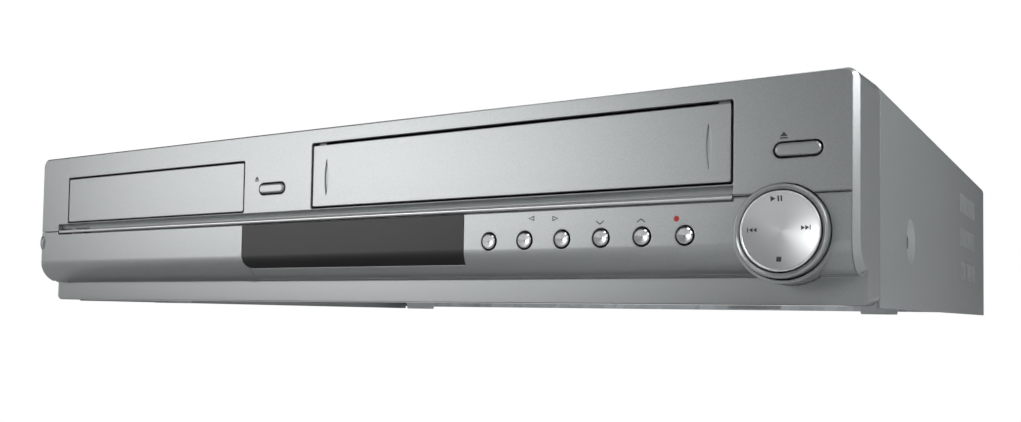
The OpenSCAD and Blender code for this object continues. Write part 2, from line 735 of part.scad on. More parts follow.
cover_y0 = flank_d + 0.3;
cover_drop = 0.5;
dimple_y = 82.5;
dimple_z = 25.5;
dimple_r = 9;
dimple_d = 3;
vent_y0 = 221;
vent_l = 60;
vent_h = 10;
vent_pitch = 5;
vent_w = 2.4;
vent_rows = [16.6, 33.7, 51];
module cover_outline(inset) {
    round_rect(-case_w / 2 + inset, -10, case_w / 2 - inset, case_h - inset, corner_r - inset * 0.9);
}
module top_cover() color(steel) in_case() {
    difference() {
        union() {
            intersection() {
                along_y(cover_y0, case_d) difference() {
                    cover_outline(0);
                    cover_outline(sheet_t);
                }
                box([-big, 0, -cover_drop], [big, big, big]);
            }
            // dished seats of the side screws
            for (s = [-1, 1]) intersection() {
                translate([s * (case_w / 2 - dimple_d - sheet_t), dimple_y, dimple_z]) rotate([0, s * 90, 0])
                    cylinder(h = dimple_d + sheet_t - 0.2, r1 = 4.6 + sheet_t, r2 = dimple_r + sheet_t);
                box([-case_w / 2 + 0.1, 0, 0], [case_w / 2 - 0.1, big, big]);
            }
        }
        for (s = [-1, 1]) {
            translate([s * (case_w / 2 - dimple_d), dimple_y, dimple_z]) rotate([0, s * 90, 0])
                cylinder(h = dimple_d + 0.02, r1 = 4.6, r2 = dimple_r);
            translate([s * (case_w / 2 - 8), dimple_y, dimple_z]) rotate([0, s * 90, 0]) cylinder(h = 8, r = 1.7);
        }
        for (s = [-1, 1], z = vent_rows, y = [vent_y0 : vent_pitch : vent_y0 + vent_l - vent_w])
            box([s * case_w / 2 - 3, y, z], [s * case_w / 2 + 3, y + vent_w, z + vent_h]);
    }
}
rear_y = case_d - 2.2;
rear_screws = [[10 - case_w / 2, case_h - 7.4], [case_w / 2 - 10, case_h - 7.4], [0, case_h - 5.4]];
module pan_screw() {
    cylinder(h = 1.6, r1 = 3.6, r2 = 2.6);
    translate([0, 0, -5.4]) cylinder(h = 5.5, r = 1.5);
}
module cover_screws() color(zinc) in_case() {
    for (s = [-1, 1]) translate([s * (case_w / 2 - dimple_d + 0.05), dimple_y, dimple_z]) rotate([0, s * 90, 0])
        pan_screw();
    for (p = rear_screws) translate([p[0], rear_y + sheet_t + 0.05, p[1]]) rotate([-90, 0, 0]) pan_screw();
}
tray_half = case_w / 2 - dimple_d - sheet_t - 1.2;
floor_z = 5;
flange_h = 7;
lip_z = wall + slip;
foot_places = [for (s = [-1, 1], y = [48, case_d - 45]) [s * (case_w / 2 - 50), y]];
post_r = 3;
// Posts pressed up to carry a plate or a board, standing on the chassis floor.
module floor_posts(places, z1) {
    for (p = places) rod_z(p[0], p[1], post_r, floor_z + sheet_t, z1);
}
module chassis_tray() color(zinc) in_case() {
    difference() {
        union() {
            box([-tray_half, cover_y0, floor_z], [tray_half, rear_y - 0.2, floor_z + sheet_t]);
            // joggled lip over the front's lower wall
            box([-tray_half, cover_y0, lip_z], [tray_half, flank_d + 2, floor_z + sheet_t]);
            box([-tray_half, flank_d - 6, lip_z], [tray_half, flank_d + 2, lip_z + sheet_t]);
            for (s = [-1, 1]) {
                x = s * (tray_half - sheet_t / 2);
                box([x - sheet_t / 2, flank_d + 2, floor_z], [x + sheet_t / 2, rear_y - 0.2, floor_z + flange_h]);
                // ear behind the side screw
                box([x - sheet_t / 2, dimple_y - 9, floor_z], [x + sheet_t / 2, dimple_y + 9, dimple_z + 6]);
            }
        }
        for (s = [-1, 1]) translate([s * (tray_half - 6), dimple_y, dimple_z]) rotate([0, s * 90, 0])
            cylinder(h = 8, r = 1.7);
    }
}
scart_xs = [20, 76];
scart_z = 28;
phono_xs = [108, 122, 136];
phono_zs = [20, 34];
board_half = tray_half - 9.8;
aerial_x = board_half - 24;
aerial_zs = [24, 44];
inlet_x = 20 - board_half;
inlet_z = 24;
fan_x = -120;
fan_z = 40;
fan_half = 20;
fan_y = rear_y - 10.4;
module rear_panel() color(zinc) in_case() {
    difference() {
        along_y(rear_y, rear_y + sheet_t)
            round_rect(-case_w / 2 + sheet_t + 0.3, 1, case_w / 2 - sheet_t - 0.3, case_h - sheet_t - 0.3, corner_r - 1);
        for (x = scart_xs) along_y(rear_y - 1, rear_y + 3)
            round_rect(x - 23.6, scart_z - 7.6, x + 23.6, scart_z + 7.6, 1);
        for (x = phono_xs, z = phono_zs) rod_y(x, z, phono_r + 0.6, rear_y - 1, rear_y + 3);
        for (z = aerial_zs) rod_y(aerial_x, z, 5.6, rear_y - 1, rear_y + 3);
        along_y(rear_y - 1, rear_y + 3) stadium(inlet_x, inlet_z, 17.4, 10.4);
        // fan grille: bars between two rings of slots
        for (i = [-3 : 3]) {
            l = 2 * sqrt(17 * 17 - 25 * i * i);
            along_y(rear_y - 1, rear_y + 3) stadium(fan_x, fan_z + i * 5, l, 3);
        }
        for (p = rear_screws) rod_y(p[0], p[1], 1.7, rear_y - 1, rear_y + 3);
    }
}
module feet() color(black) in_case() for (p = foot_places) {
    translate([p[0], p[1], -foot_h]) cylinder(h = foot_h + floor_z - 0.05, r1 = foot_r - 1.2, r2 = foot_r);
}

// ---------------------------------------------------------------- tape deck

deck_y0 = 31;
deck_y1 = rear_y - 69.3;
deck_half = 104;
deck_posts = [for (s = [-1, 1], y = [deck_y0 + 9, deck_y1 - 10]) [s * 96, y]];
holder_half = 95.6;
holder_y0 = 34.4;
cassette_z0 = door_z + 0.6;
holder_top = cassette_z0 + 25.4;
reel_y = 85;
drum_y = 187;
guide_start = [28, 126];
guide_end = [46, 172];
guide_travel = norm(guide_end - guide_start);
guide_angle = atan2(guide_end[1] - guide_start[1], guide_end[0] - guide_start[0]);
capstan_at = [62, 152];
pinch_pivot = [88, 158];
pinch_arm_l = 22;
pinch_rest = 145;
pinch_at = [pinch_pivot[0] + pinch_arm_l * cos(pinch_rest), pinch_pivot[1] + pinch_arm_l * sin(pinch_rest)];
cam_at = [-62, deck_y1 - 28];
cam_r = 18;
worm_r = 2.2;
shaft_r = 1.5;
module in_deck() translate([deck_x, 0, 0]) children();
module guide_slot(s) {
    translate([s * guide_start[0], guide_start[1]]) rotate(s > 0 ? guide_angle : 180 - guide_angle)
        translate([guide_travel / 2, 0]) stadium(0, 0, guide_travel + 5, 5);
}
module deck_plate() color(steel) in_case() in_deck() difference() {
    union() {
        box([-deck_half, deck_y0, deck_z - deck_t], [deck_half, deck_y1, deck_z]);
        floor_posts(deck_posts, deck_z - 1);
        for (s = [-1, 1]) rod_z(s * reel_pitch / 2, reel_y, shaft_r, deck_z - 1, deck_z + 12);
        rod_z(cam_at[0], cam_at[1], shaft_r, deck_z - 1, deck_z + 10);
        rod_z(pinch_pivot[0], pinch_pivot[1], shaft_r, deck_z - 1, deck_z + 22);
        // base of the drum, tilted with it
        intersection() {
            translate([0, drum_y, deck_z - 1]) rotate([-drum_tilt, 0, 0]) translate([0, 0, -6]) cylinder(h = 10, r = 27);
            box([-40, 120, deck_z - 0.5], [40, 260, 60]);
        }
    }
    along_z(deck_z - deck_t - 1, deck_z + 1) for (s = [-1, 1]) guide_slot(s);
    rod_z(capstan_at[0], capstan_at[1], shaft_r + fit, 0, deck_z + 1);
    for (x = [-30, 30], y = [50, 108]) along_z(0, deck_z + 1) round_rect(x - 12, y - 8, x + 12, y + 8, 4);
}
bracket_in = 98;
bracket_y1 = deck_y0 + load_in + 94;
track_z = 50;
track_y0 = 44;
slider_in = 96.2;
slider_out = 97.2;
slider_l = 44;
drop_z = 54;
module side_brackets() color(zinc) in_case() in_deck() for (s = [-1, 1]) {
    x = s * (bracket_in + sheet_t / 2);
    difference() {
        box([x - sheet_t / 2, deck_y0 + 2, deck_z], [x + sheet_t / 2, bracket_y1, 70]);
        along_x(x - 2, x + 2) for (z = [track_z - 22, track_z + 14])
            slot_x(track_y0 + (load_in + 28) / 2, z, load_in + 28 + 2 * (shaft_r + fit), 2 * (shaft_r + fit));
        along_x(x - 2, x + 2) slot_x(bracket_y1 - 36, 30, 30, 12);
    }
    box([min(s * 96.4, s * (bracket_in + sheet_t)), deck_y0 + 2, deck_z],
        [max(s * 96.4, s * (bracket_in + sheet_t)), bracket_y1, deck_z + 1]);
}
module carriage_sliders() color(white_plastic) in_case() in_deck() for (s = [-1, 1]) {
    a = min(s * slider_in, s * slider_out);
    b = max(s * slider_in, s * slider_out);
    difference() {
        box([a, holder_y0 + 2, track_z - 26], [b, holder_y0 + 2 + slider_l, track_z + 17]);
        along_x(a - 1, b + 1) for (y = [holder_y0 + 8, holder_y0 + 40])
            translate([y, drop_z - load_down / 2]) rotate(90)
                stadium(0, 0, load_down + 2 * (shaft_r + fit), 2 * (shaft_r + fit));
    }
    out = s * (bracket_in + sheet_t + 0.6);
    for (z = [track_z - 22, track_z + 14], y = [track_y0, track_y0 + 28])
        rod_x(y, z, shaft_r, min(s * slider_in, out), max(s * slider_in, out));
}
module cassette_holder() color(zinc) in_case() in_deck() {
    y1 = holder_y0 + holder_d;
    box([-holder_half, holder_y0, holder_top], [holder_half, y1, holder_top + sheet_t]);
    for (s = [-1, 1]) {
        a = min(s * (holder_half - sheet_t), s * holder_half);
        b = max(s * (holder_half - sheet_t), s * holder_half);
        box([a, holder_y0, cassette_z0 - sheet_t], [b, y1, holder_top + sheet_t]);
        box([min(s * 80, s * holder_half), holder_y0, cassette_z0 - sheet_t],
            [max(s * 80, s * holder_half), y1, cassette_z0]);
        box([min(s * 82, s * holder_half), y1 - sheet_t, cassette_z0 - sheet_t],
            [max(s * 82, s * holder_half), y1, cassette_z0 + 9]);
        for (y = [holder_y0 + 8, holder_y0 + 40])
            rod_x(y, drop_z, shaft_r, min(s * (holder_half - 0.5), s * (slider_out + 0.3)),
                max(s * (holder_half - 0.5), s * (slider_out + 0.3)));
    }
    // leaf springs that press on the cassette, pressed from the top plate
    for (x = [-40, 40]) box([x - 6, holder_y0 + 10, holder_top - 0.3], [x + 6, holder_y0 + 40, holder_top + 0.1]);
}
module in_drum() translate([deck_x, drum_y, deck_z - 1]) rotate([-drum_tilt, 0, 0]) children();
drum_foot = 4.1;
drum_low_h = 13;
drum_gap = 0.3;
drum_up_h = 15;
module lower_drum() color("#b4b7ba") in_case() in_drum() {
    difference() {
        translate([0, 0, drum_foot]) cylinder(h = drum_low_h, r = drum_r, $fn = 96);
        translate([0, 0, drum_foot + drum_low_h - 5]) cylinder(h = 6, r = drum_r - 4, $fn = 96);
    }
    translate([0, 0, drum_foot]) cylinder(h = drum_low_h + drum_gap + drum_up_h + 3, r = 3);
}
module upper_drum() color(chrome) in_case() in_drum() translate([0, 0, drum_foot + drum_low_h + drum_gap]) {
    difference() {
        union() {
            cylinder(h = drum_up_h, r = drum_r, $fn = 96);
            translate([0, 0, -4.4]) cylinder(h = 4.5, r = drum_r - 6);
        }
        translate([0, 0, -6]) cylinder(h = drum_up_h + 8, r = 3 + fit);
        for (a = [0 : 90 : 270]) rotate(a) translate([drum_r - 2, -2, -1]) cube([4, 4, 3]);
        for (a = [45 : 90 : 315]) rotate(a) translate([18, 0, drum_up_h - 1]) cylinder(h = 2, r = 2);
    }
    for (a = [0 : 90 : 270]) rotate(a) translate([drum_r - 2.1, -1, 0.2]) cube([1.9, 2, 1.2]);
}
flywheel_r = 20;
stator_z = 6.6;
module capstan() color(chrome) in_case() in_deck() {
    rod_z(capstan_at[0], capstan_at[1], shaft_r, stator_z + 0.2, deck_z + 34);
    rod_z(capstan_at[0], capstan_at[1], flywheel_r, stator_z + 3.6, deck_z - deck_t - 0.6);
}
module deck_motors() color(dark_grey) in_case() in_deck() {
    // stator board of the capstan and its cup bearing
    difference() {
        box([capstan_at[0] - 26, capstan_at[1] - 24, stator_z], [capstan_at[0] + 26, capstan_at[1] + 24, stator_z + board_t]);
        rod_z(capstan_at[0], capstan_at[1], shaft_r + fit, 0, deck_z);
    }
    for (a = [30 : 60 : 330])
        rod_z(capstan_at[0] + 12 * cos(a), capstan_at[1] + 12 * sin(a), 4.4, stator_z + board_t - 0.1, stator_z + 3);
    for (x = [-1, 1], y = [-1, 1])
        rod_z(capstan_at[0] + x * 23.5, capstan_at[1] + y * 21.5, 2, stator_z + board_t - 0.1, deck_z - deck_t);
    // loading motor and its worm beside the cam gear
    worm_x = cam_at[0] - cam_r - 1 - gap - worm_r;
    box([worm_x - 6, cam_at[1] + 14, deck_z], [worm_x + 6, deck_y1 - 0.5, deck_z + 12]);
    rod_y(worm_x, deck_z + 6, 1, cam_at[1] - 13, cam_at[1] + 15);
    rod_y(worm_x, deck_z + 6, worm_r, cam_at[1] - 8, cam_at[1] + 8);
    box([worm_x - 2, cam_at[1] - 15, deck_z], [worm_x + 2, cam_at[1] - 12.5, deck_z + 8]);
}
arm_z = deck_z + 3;
module pinch_arm() color(zinc) in_case() in_deck() {
    ux = cos(pinch_rest);
    uy = sin(pinch_rest);
    difference() {
        union() {
            rod_z(pinch_pivot[0], pinch_pivot[1], 4, deck_z + 0.3, deck_z + 20);
            rod_z(pinch_at[0], pinch_at[1], 3.4, arm_z, arm_z + 1.6);
            translate([pinch_pivot[0], pinch_pivot[1], arm_z]) rotate(pinch_rest) translate([0, -2.4, 0])
                cube([pinch_arm_l, 4.8, 1.6]);
        }
        rod_z(pinch_pivot[0], pinch_pivot[1], shaft_r + fit, 0, 60);
    }
    rod_z(pinch_at[0], pinch_at[1], 1.2, arm_z, arm_z + 19);
}
module pinch_roller() color(black) in_case() in_deck()
    tube_z(pinch_at[0], pinch_at[1], pinch_r, 1.2 + fit, arm_z + 1.9, arm_z + 17.4);
module reel(s) color(white_plastic) in_case() in_deck() difference() {
    x = s * reel_pitch / 2;
    union() {
        rod_z(x, reel_y, reel_r, deck_z + 0.4, deck_z + 3.4);
        rod_z(x, reel_y, 12, deck_z + 3.3, deck_z + 6);
        rod_z(x, reel_y, 7.5, deck_z + 5.9, deck_z + 17);
        for (a = [0 : 60 : 300]) translate([x, reel_y, 0]) rotate(a) box([6.5, -1, deck_z + 5.9], [10.4, 1, deck_z + 16]);
    }
    rod_z(x, reel_y, shaft_r + fit, deck_z - 2, deck_z + 13);
}
module supply_reel() reel(-1);
module take_up_reel() reel(1);
module loading_guide(s) color(steel) in_case() in_deck() {
    x = s * guide_start[0];
    y = guide_start[1];
    rod_z(x, y, 2.1, deck_z - deck_t - 0.8, deck_z + 1.5);
    rod_z(x, y, 6, deck_z + 0.3, deck_z + 5);
    rod_z(x, y, 1.6, deck_z + 4.9, deck_z + 24);
    rod_z(x, y, 2.8, deck_z + 7, deck_z + 9);
    rod_z(x, y, 2.8, deck_z + 22, deck_z + 25);
}
module supply_guide() loading_guide(-1);
module take_up_guide() loading_guide(1);
module tape_heads() color(zinc) in_case() in_deck() {
    // full-erase head on the supply side, audio and control head on the take-up side
    rod_z(-58, 150, 3, deck_z, deck_z + 6);
    box([-61, 146, deck_z + 5.9], [-55, 154, deck_z + 22]);
    rod_z(56, 164.5, 2.4, deck_z, deck_z + 8);
    box([53, 161, deck_z + 7.9], [59, 168, deck_z + 24]);
}
function gear_points(teeth, m, slack) = [
    for (i = [0 : teeth - 1], k = [0 : 5]) let (
        pr = teeth * m / 2,
        radii = [pr - 1.2 * m, pr - 0.2 * m, pr + 0.95 * m, pr + 0.95 * m, pr - 0.2 * m, pr - 1.2 * m],
        half = [0.32, 0.27, 0.13, -0.13, -0.27, -0.32],
        r = radii[k],
        shrink = slack / pr * 180 / PI,
        a = i * 360 / teeth - half[k] * 360 / teeth + (half[k] > 0 ? shrink : -shrink)
    ) [r * cos(a), r * sin(a)]];
module cam_gear() color(white_plastic) in_case() in_deck() difference() {
    translate([cam_at[0], cam_at[1], deck_z]) union() {
        translate([0, 0, 4]) linear_extrude(4) polygon(gear_points(2 * cam_r, 1, 0));
        translate([0, 0, 0.4]) cylinder(h = 9, r = 5);
    }
    rod_z(cam_at[0], cam_at[1], shaft_r + fit, deck_z - 1, deck_z + 12);
    // cam track in the gear's top face
    translate([cam_at[0], cam_at[1], deck_z + 6.5]) difference() {
        translate([2, 0, 0]) cylinder(h = 2, r = 12);
        translate([2, 0, -1]) cylinder(h = 4, r = 9.4);
    }
}

// ---------------------------------------------------------------- disc drive

drive_z = 37;
drive_y0 = 16.5;
drive_wall = 1.2;
drive_h = 30;
drive_half = drive_w / 2;
disc_y = 68;
tray_half_w = tray_w / 2;
tray_z0 = 46;
tray_z1 = 52;
tray_y1 = 160;
gear_r = gear_teeth * gear_m / 2;
gear_at = [-33, 27];
rack_z0 = door_z + 0.8;
gear_z1 = tray_z0 - 1.6;
rack_x = gear_at[0] - gear_r;
rail_t = 2;
drive_posts = [for (s = [-1, 1], y = [48, drive_d - 12]) [s * (drive_half - 6), y]];
module in_drive() translate([tray_x, 0, 0]) children();
module drive_case() color(zinc) in_case() in_drive() {
    difference() {
        box([-drive_half, drive_y0, drive_z], [drive_half, drive_d, drive_z + drive_h]);
        box([-drive_half + drive_wall, drive_y0 - 1, drive_z + drive_wall],
            [drive_half - drive_wall, drive_d - drive_wall, drive_z + drive_h + 1]);
    }
    // rails under and beside the tray
    for (s = [-1, 1]) {
        box([min(s * (tray_half_w + slip), s * (drive_half - 1)), drive_y0, drive_z + 1],
            [max(s * (tray_half_w + slip), s * (drive_half - 1)), drive_d - 10, tray_z0 + 1.6]);
        box([min(s * (tray_half_w - 3), s * (drive_half - 1)), drive_y0, drive_z + 1],
            [max(s * (tray_half_w - 3), s * (drive_half - 1)), drive_d - 10, tray_z0 - slip]);
    }
    floor_posts(drive_posts, drive_z + 0.5);
    rod_z(gear_at[0], gear_at[1], shaft_r, drive_z + 0.5, gear_z1 - 0.3);
    for (s = [-1, 1], y = [traverse_y0 + 3, traverse_y1 - 3])
        rod_z(s * 23, y, 2.5, drive_z + 1, traverse_z);
}
module drive_lid() color(zinc) in_case() in_drive() {
    z = drive_z + drive_h;
    difference() {
        union() {
            box([-drive_half, drive_y0 + 1, z], [drive_half, drive_d, z + 0.8]);
            // bridge that carries the clamp puck
            box([-26, disc_y - 19, bridge_z], [26, disc_y + 19, bridge_z + 1.2]);
            for (s = [-1, 1]) box([s * 25 - 1, disc_y - 19, bridge_z], [s * 25 + 1, disc_y + 19, z + 0.2]);
        }
        rod_z(0, disc_y, table_r + 0.6, bridge_z - 1, bridge_z + 3);
        rod_z(0, disc_y, 20, z - 0.5, z + 2);
    }
}
bridge_z = 56.4;
module clamp_puck() color(black) in_case() in_drive() {
    rod_z(0, disc_y, table_r + 2.6, bridge_z + 1.2 + gap, bridge_z + 3);
    rod_z(0, disc_y, table_r, bridge_z - 2, bridge_z + 2);
}
module rack(x, y0, y1, z0, z1) {
    pitch = PI * gear_m;
    first = ceil((y0 - gear_at[1]) / pitch);
    last = floor((y1 - gear_at[1]) / pitch) - 1;
    box([x - 4.6, y0, z0], [x - 1.25 * gear_m, y1, z1]);
    along_z(z0, z1) for (i = [first : last]) {
        y = gear_at[1] + (i + 0.5) * pitch;
        polygon([[x - 1.3 * gear_m, y - 1.06], [x + 0.8 * gear_m, y - 0.36], [x + 0.8 * gear_m, y + 0.36],
            [x - 1.3 * gear_m, y + 1.06]]);
    }
}
module disc_tray() color(dark_grey) in_case() in_drive() {
    difference() {
        union() {
            box([-tray_half_w, 3, tray_z0], [tray_half_w, tray_y1, tray_z1]);
        }
        rod_z(0, disc_y, disc_r, tray_z1 - 2, tray_z1 + 1, $fn = 96);
        rod_z(0, disc_y, 41, tray_z1 - 3.2, tray_z1 + 1, $fn = 96);
        // slot for the turntable and the sled, open at the rear
        rod_z(0, disc_y, 22.5, 0, 90);
        box([-22.5, disc_y, 0], [22.5, tray_y1 + 1, 90]);
        // finger scoops beside the disc
        for (s = [-1, 1]) rod_z(s * (disc_r - 3), 14, 8, tray_z1 - 4, tray_z1 + 1);
        box([-big, disc_y + 62, tray_z0 + 3], [-24, tray_y1 - 4, tray_z1 + 1]);
        box([24, disc_y + 62, tray_z0 + 3], [big, tray_y1 - 4, tray_z1 + 1]);
    }
    rack(rack_x, 14, tray_y1, rack_z0, tray_z0 + 0.5);
    for (x = [-40, 40]) box([x - 3, 2.4, tray_z0], [x + 3, 3.2, tray_z1]);
}
module tray_fascia() color(silver) in_case() {
    along_y(0.2, 2.4) round_rect(tray_x - tray_door_w / 2, tray_door_z, tray_x + tray_door_w / 2,
        tray_door_z + tray_door_h, 0.8);
}
module tray_gear() color(white_plastic) in_case() in_drive() difference() {
    union() {
        translate([gear_at[0], gear_at[1], rack_z0]) linear_extrude(gear_z1 - rack_z0 - 0.6)
            polygon(gear_points(gear_teeth, gear_m, 0.12));
        rod_z(gear_at[0], gear_at[1], 4, drive_z + drive_wall + 0.4, gear_z1);
    }
    rod_z(gear_at[0], gear_at[1], shaft_r + fit, 0, 90);
}
table_z = tray_z1 - 1;
traverse_z = 40.6;
traverse_y0 = 48;
traverse_y1 = 152;
rod_x_at = 15;
rod_zc = 44;
module traverse() color(zinc) in_case() in_drive() {
    difference() {
        box([-26, traverse_y0, traverse_z], [26, traverse_y1, traverse_z + 1]);
        box([-9, disc_y + 18, 0], [9, traverse_y1 - 8, 90]);
        rod_z(0, disc_y, shaft_r + fit, 0, 90);
    }
    // stator of the spindle motor
    tube_z(0, disc_y, 11, shaft_r + fit, traverse_z + 0.9, traverse_z + 3.4);
    // guide rods in their end blocks
    for (s = [-1, 1]) {
        rod_y(s * rod_x_at, rod_zc, shaft_r, disc_y + 17, traverse_y1 - 1);
        for (y = [disc_y + 17, traverse_y1 - 4])
            box([s * rod_x_at - 2.6, y, traverse_z + 0.5], [s * rod_x_at + 2.6, y + 3, rod_zc + 2.4]);
    }
}
module spindle_table() color(zinc) in_case() in_drive() {
    rod_z(0, disc_y, shaft_r, traverse_z - 0.4, table_z);
    rod_z(0, disc_y, 13, traverse_z + 3.7, traverse_z + 7);
    color(black) rod_z(0, disc_y, table_r, table_z - 2.4, table_z - 0.4);
    translate([0, disc_y, table_z - 0.5]) cylinder(h = 2.6, r1 = 7.4, r2 = 6.4);
}
sled_y0 = 92;
sled_l = 24;
module pickup_sled() color(dark_grey) in_case() in_drive() {
    difference() {
        box([-20, sled_y0, rod_zc - 2.2], [20, sled_y0 + sled_l, rod_zc + 3]);
        for (s = [-1, 1]) rod_y(s * rod_x_at, rod_zc, shaft_r + fit, 0, 300);
    }
    rod_z(0, sled_y0 + 8, 6, rod_zc + 2.9, rod_zc + 4);
    color("#8fb6c9") rod_z(0, sled_y0 + 8, 2.6, rod_zc + 3.9, rod_zc + 5);
}

// ---------------------------------------------------------------- boards and sockets

board_z = 8;
rear_board_y = deck_y1 + 6;
side_board = [14 - board_half, -64];
side_board_y = [40, rear_y - 119.3];
power_board_x = [-board_half, -46];
power_board_y = rear_y - 111.3;
// A block soldered on a board, from its middle and its half width.
module chip(x, y, half) { box([x - half, y - half, board_z + 1.5], [x + half, y + half, board_z + 3.6]); }
module main_board() color(green) in_case() {
    box([-30, rear_board_y, board_z + 0.1], [board_half, rear_y - 16, board_z + 1.6]);
    floor_posts([for (x = [-22, board_half - 8]) [x, rear_board_y + 8]], board_z + 0.2);
    floor_posts([[-22, rear_y - 22]], board_z + 0.2);
    box([side_board[0], side_board_y[0], board_z + 0.1], [side_board[1], side_board_y[1], board_z + 1.6]);
    floor_posts([for (x = [side_board[0] + 6, side_board[1] - 6], y = [side_board_y[0] + 10, side_board_y[1] - 10]) [x, y]],
        board_z + 0.2);
    color(black) {
        for (p = [[-150, 120, 14], [-100, 90, 11], [-90, 150, 8]]) chip(p[0], p[1], p[2]);
        chip(20, rear_board_y + 19, 9);
        chip(90, rear_board_y + 14, 8);
    }
    // can of the tuner
    color(zinc) box([aerial_x - 26, rear_board_y + 2, board_z + 1.5], [aerial_x + 20, rear_y - 17, board_z + 44]);
}
module power_board() color(amber) in_case() {
    x0 = power_board_x[0];
    y0 = power_board_y;
    z = board_z + 1.5;
    box([x0, y0, board_z + 0.1], [power_board_x[1], rear_y - 14, board_z + 1.6]);
    floor_posts([for (x = [x0 + 8, power_board_x[1] - 8], y = [y0 + 8, rear_y - 22]) [x, y]], board_z + 0.2);
    // transformer: wound core on its bobbin
    color(cream) box([x0 + 48, y0 + 42, z], [x0 + 76, y0 + 68, board_z + 26]);
    color(dark_grey) box([x0 + 45, y0 + 48, board_z + 5], [x0 + 79, y0 + 62, board_z + 22]);
    // finned heat sink
    color(zinc) for (x = [x0 + 100 : 5 : x0 + 130]) box([x, y0 + 32, z], [x + 1.5, y0 + 54, board_z + 30]);
    color(zinc) box([x0 + 100, y0 + 42, z], [x0 + 131.5, y0 + 44.5, board_z + 30]);
    color(black) {
        rod_z(x0 + 24, y0 + 54, 11, z, board_z + 32);
        for (x = [90, 104, 118, 132]) rod_z(x0 + x, y0 + 17, 5, z, board_z + 20);
        rod_z(x0 + 140, y0 + 77, 6, z, board_z + 22);
    }
    color("#c8a24a") box([x0 + 10, y0 + 18, z], [x0 + 32, y0 + 34, board_z + 20]);
}
module scart_sockets() color(black) in_case() for (x = scart_xs) {
    difference() {
        union() {
            along_y(rear_y - 14, rear_y + 1.6)
                round_rect(x - 21, scart_z - 5.4, x + 21, scart_z + 5.4, 1);
            box([x - 23, rear_y - 14, scart_z - 8], [x + 23, rear_y - 2, scart_z + 8]);
        }
        // two rows of contact slots
        for (i = [-4.5 : 4.5], r = [-1, 1])
            box([x + i * 3.9 - 0.6, rear_y - 8, scart_z + r * 2.6 - 1.3], [x + i * 3.9 + 0.6, rear_y + 3, scart_z + r * 2.6 + 1.3]);
    }
    for (s = [-1, 1]) box([x + s * 20 - 1, rear_y - 16, board_z + 1.7], [x + s * 20 + 1, rear_y - 13, scart_z]);
}
module rear_jacks() color(white_plastic) in_case() {
    for (x = phono_xs, z = phono_zs) {
        tube_y(x, z, phono_r, 1.7, case_d - 0.1, case_d + phono_l);
        tube_y(x, z, phono_r + 0.35, 1.7, rear_y - 3, case_d);
    }
    color(black) box([phono_xs[0] - 7, rear_y - 14, board_z + 1.7], [phono_xs[2] + 7, rear_y - 2.9, phono_zs[1] + 7]);
    // aerial sockets on the tuner's can
    color(zinc) for (z = aerial_zs) {
        tube_y(aerial_x, z, 4.75, 3.4, case_d - 0.1, case_d + rear_proud);
        tube_y(aerial_x, z, 5.2, 3.4, rear_y - 3, case_d);
        rod_y(aerial_x, z, 5.2, rear_y - 16.9, rear_y - 2.9);
        rod_y(aerial_x, z, 1.2, rear_y - 3, case_d + rear_proud - 2);
    }
}
module mains_inlet() color(black) in_case() {
    difference() {
        along_y(rear_y - 12, rear_y + 2) stadium(inlet_x, inlet_z, 17, 10);
        along_y(rear_y - 8, rear_y + 3) stadium(inlet_x, inlet_z, 15, 8);
    }
    box([inlet_x - 10, rear_y - 14, board_z + 1.7], [inlet_x + 10, rear_y - 10, inlet_z + 6]);
    color(zinc) for (s = [-1, 1]) rod_y(inlet_x + s * 4.3, inlet_z, 1.2, rear_y - 10.1, rear_y);
}
module fan_frame() color(black) in_case() {
    difference() {
        along_y(fan_y, fan_y + 10)
            round_rect(fan_x - fan_half, fan_z - fan_half, fan_x + fan_half, fan_z + fan_half, 2.5);
        rod_y(fan_x, fan_z, fan_half - 1, fan_y - 1, fan_y + 11);
        for (s = [-1, 1], t = [-1, 1]) rod_y(fan_x + s * 16, fan_z + t * 16, 1.8, fan_y - 1, fan_y + 11);
    }
    rod_y(fan_x, fan_z, 9, fan_y, fan_y + 1.5);
    rod_y(fan_x, fan_z, shaft_r, fan_y, fan_y + 8);
    for (a = [45, 165, 285]) translate([fan_x, fan_y, fan_z]) rotate([0, a, 0]) box([8, 0, -1.2], [fan_half, 1.5, 1.2]);
}
blades = 7;
module fan_rotor() color(dark_grey) in_case() translate([fan_x, fan_y, fan_z]) rotate([-90, 0, 0]) difference() {
    union() {
        translate([0, 0, 2]) cylinder(h = 7.5, r = 9.5);
        for (i = [0 : blades - 1]) rotate(i * 360 / blades) translate([9, 0, 5.6]) rotate([38, 0, 0])
            translate([0, -4, -0.5]) cube([8.4, 8, 1]);
    }
    translate([0, 0, 1]) cylinder(h = 7.2, r = shaft_r + fit);
}

front_panel();
lower_panel();
display_window();
trim_bar();
power_button();
pad_ring();
pad_gimbal();
control_pad();
open_button();
eject_button();
source_button();
copy_disc_button();
copy_tape_button();
channel_down_button();
channel_up_button();
record_button();
av_flap();
av_jack_panel();
front_jacks();
cassette_door();
door_spring();
front_board();
display_tube();
top_cover();
cover_screws();
chassis_tray();
rear_panel();
feet();
deck_plate();
side_brackets();
carriage_sliders();
cassette_holder();
lower_drum();
upper_drum();
capstan();
deck_motors();
pinch_arm();
pinch_roller();
supply_reel();
take_up_reel();
supply_guide();
take_up_guide();
tape_heads();
cam_gear();
drive_case();
drive_lid();
disc_tray();
tray_fascia();
spindle_table();
traverse();
pickup_sled();
tray_gear();
clamp_puck();
main_board();
power_board();
scart_sockets();
rear_jacks();
mains_inlet();
fan_frame();
fan_rotor();
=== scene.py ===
"""A combined disc and cassette player, dressed with its finishes.

The sections follow the player as it is put together.
"""

import math

import bmesh
import bpy
from mathutils import Matrix, Vector


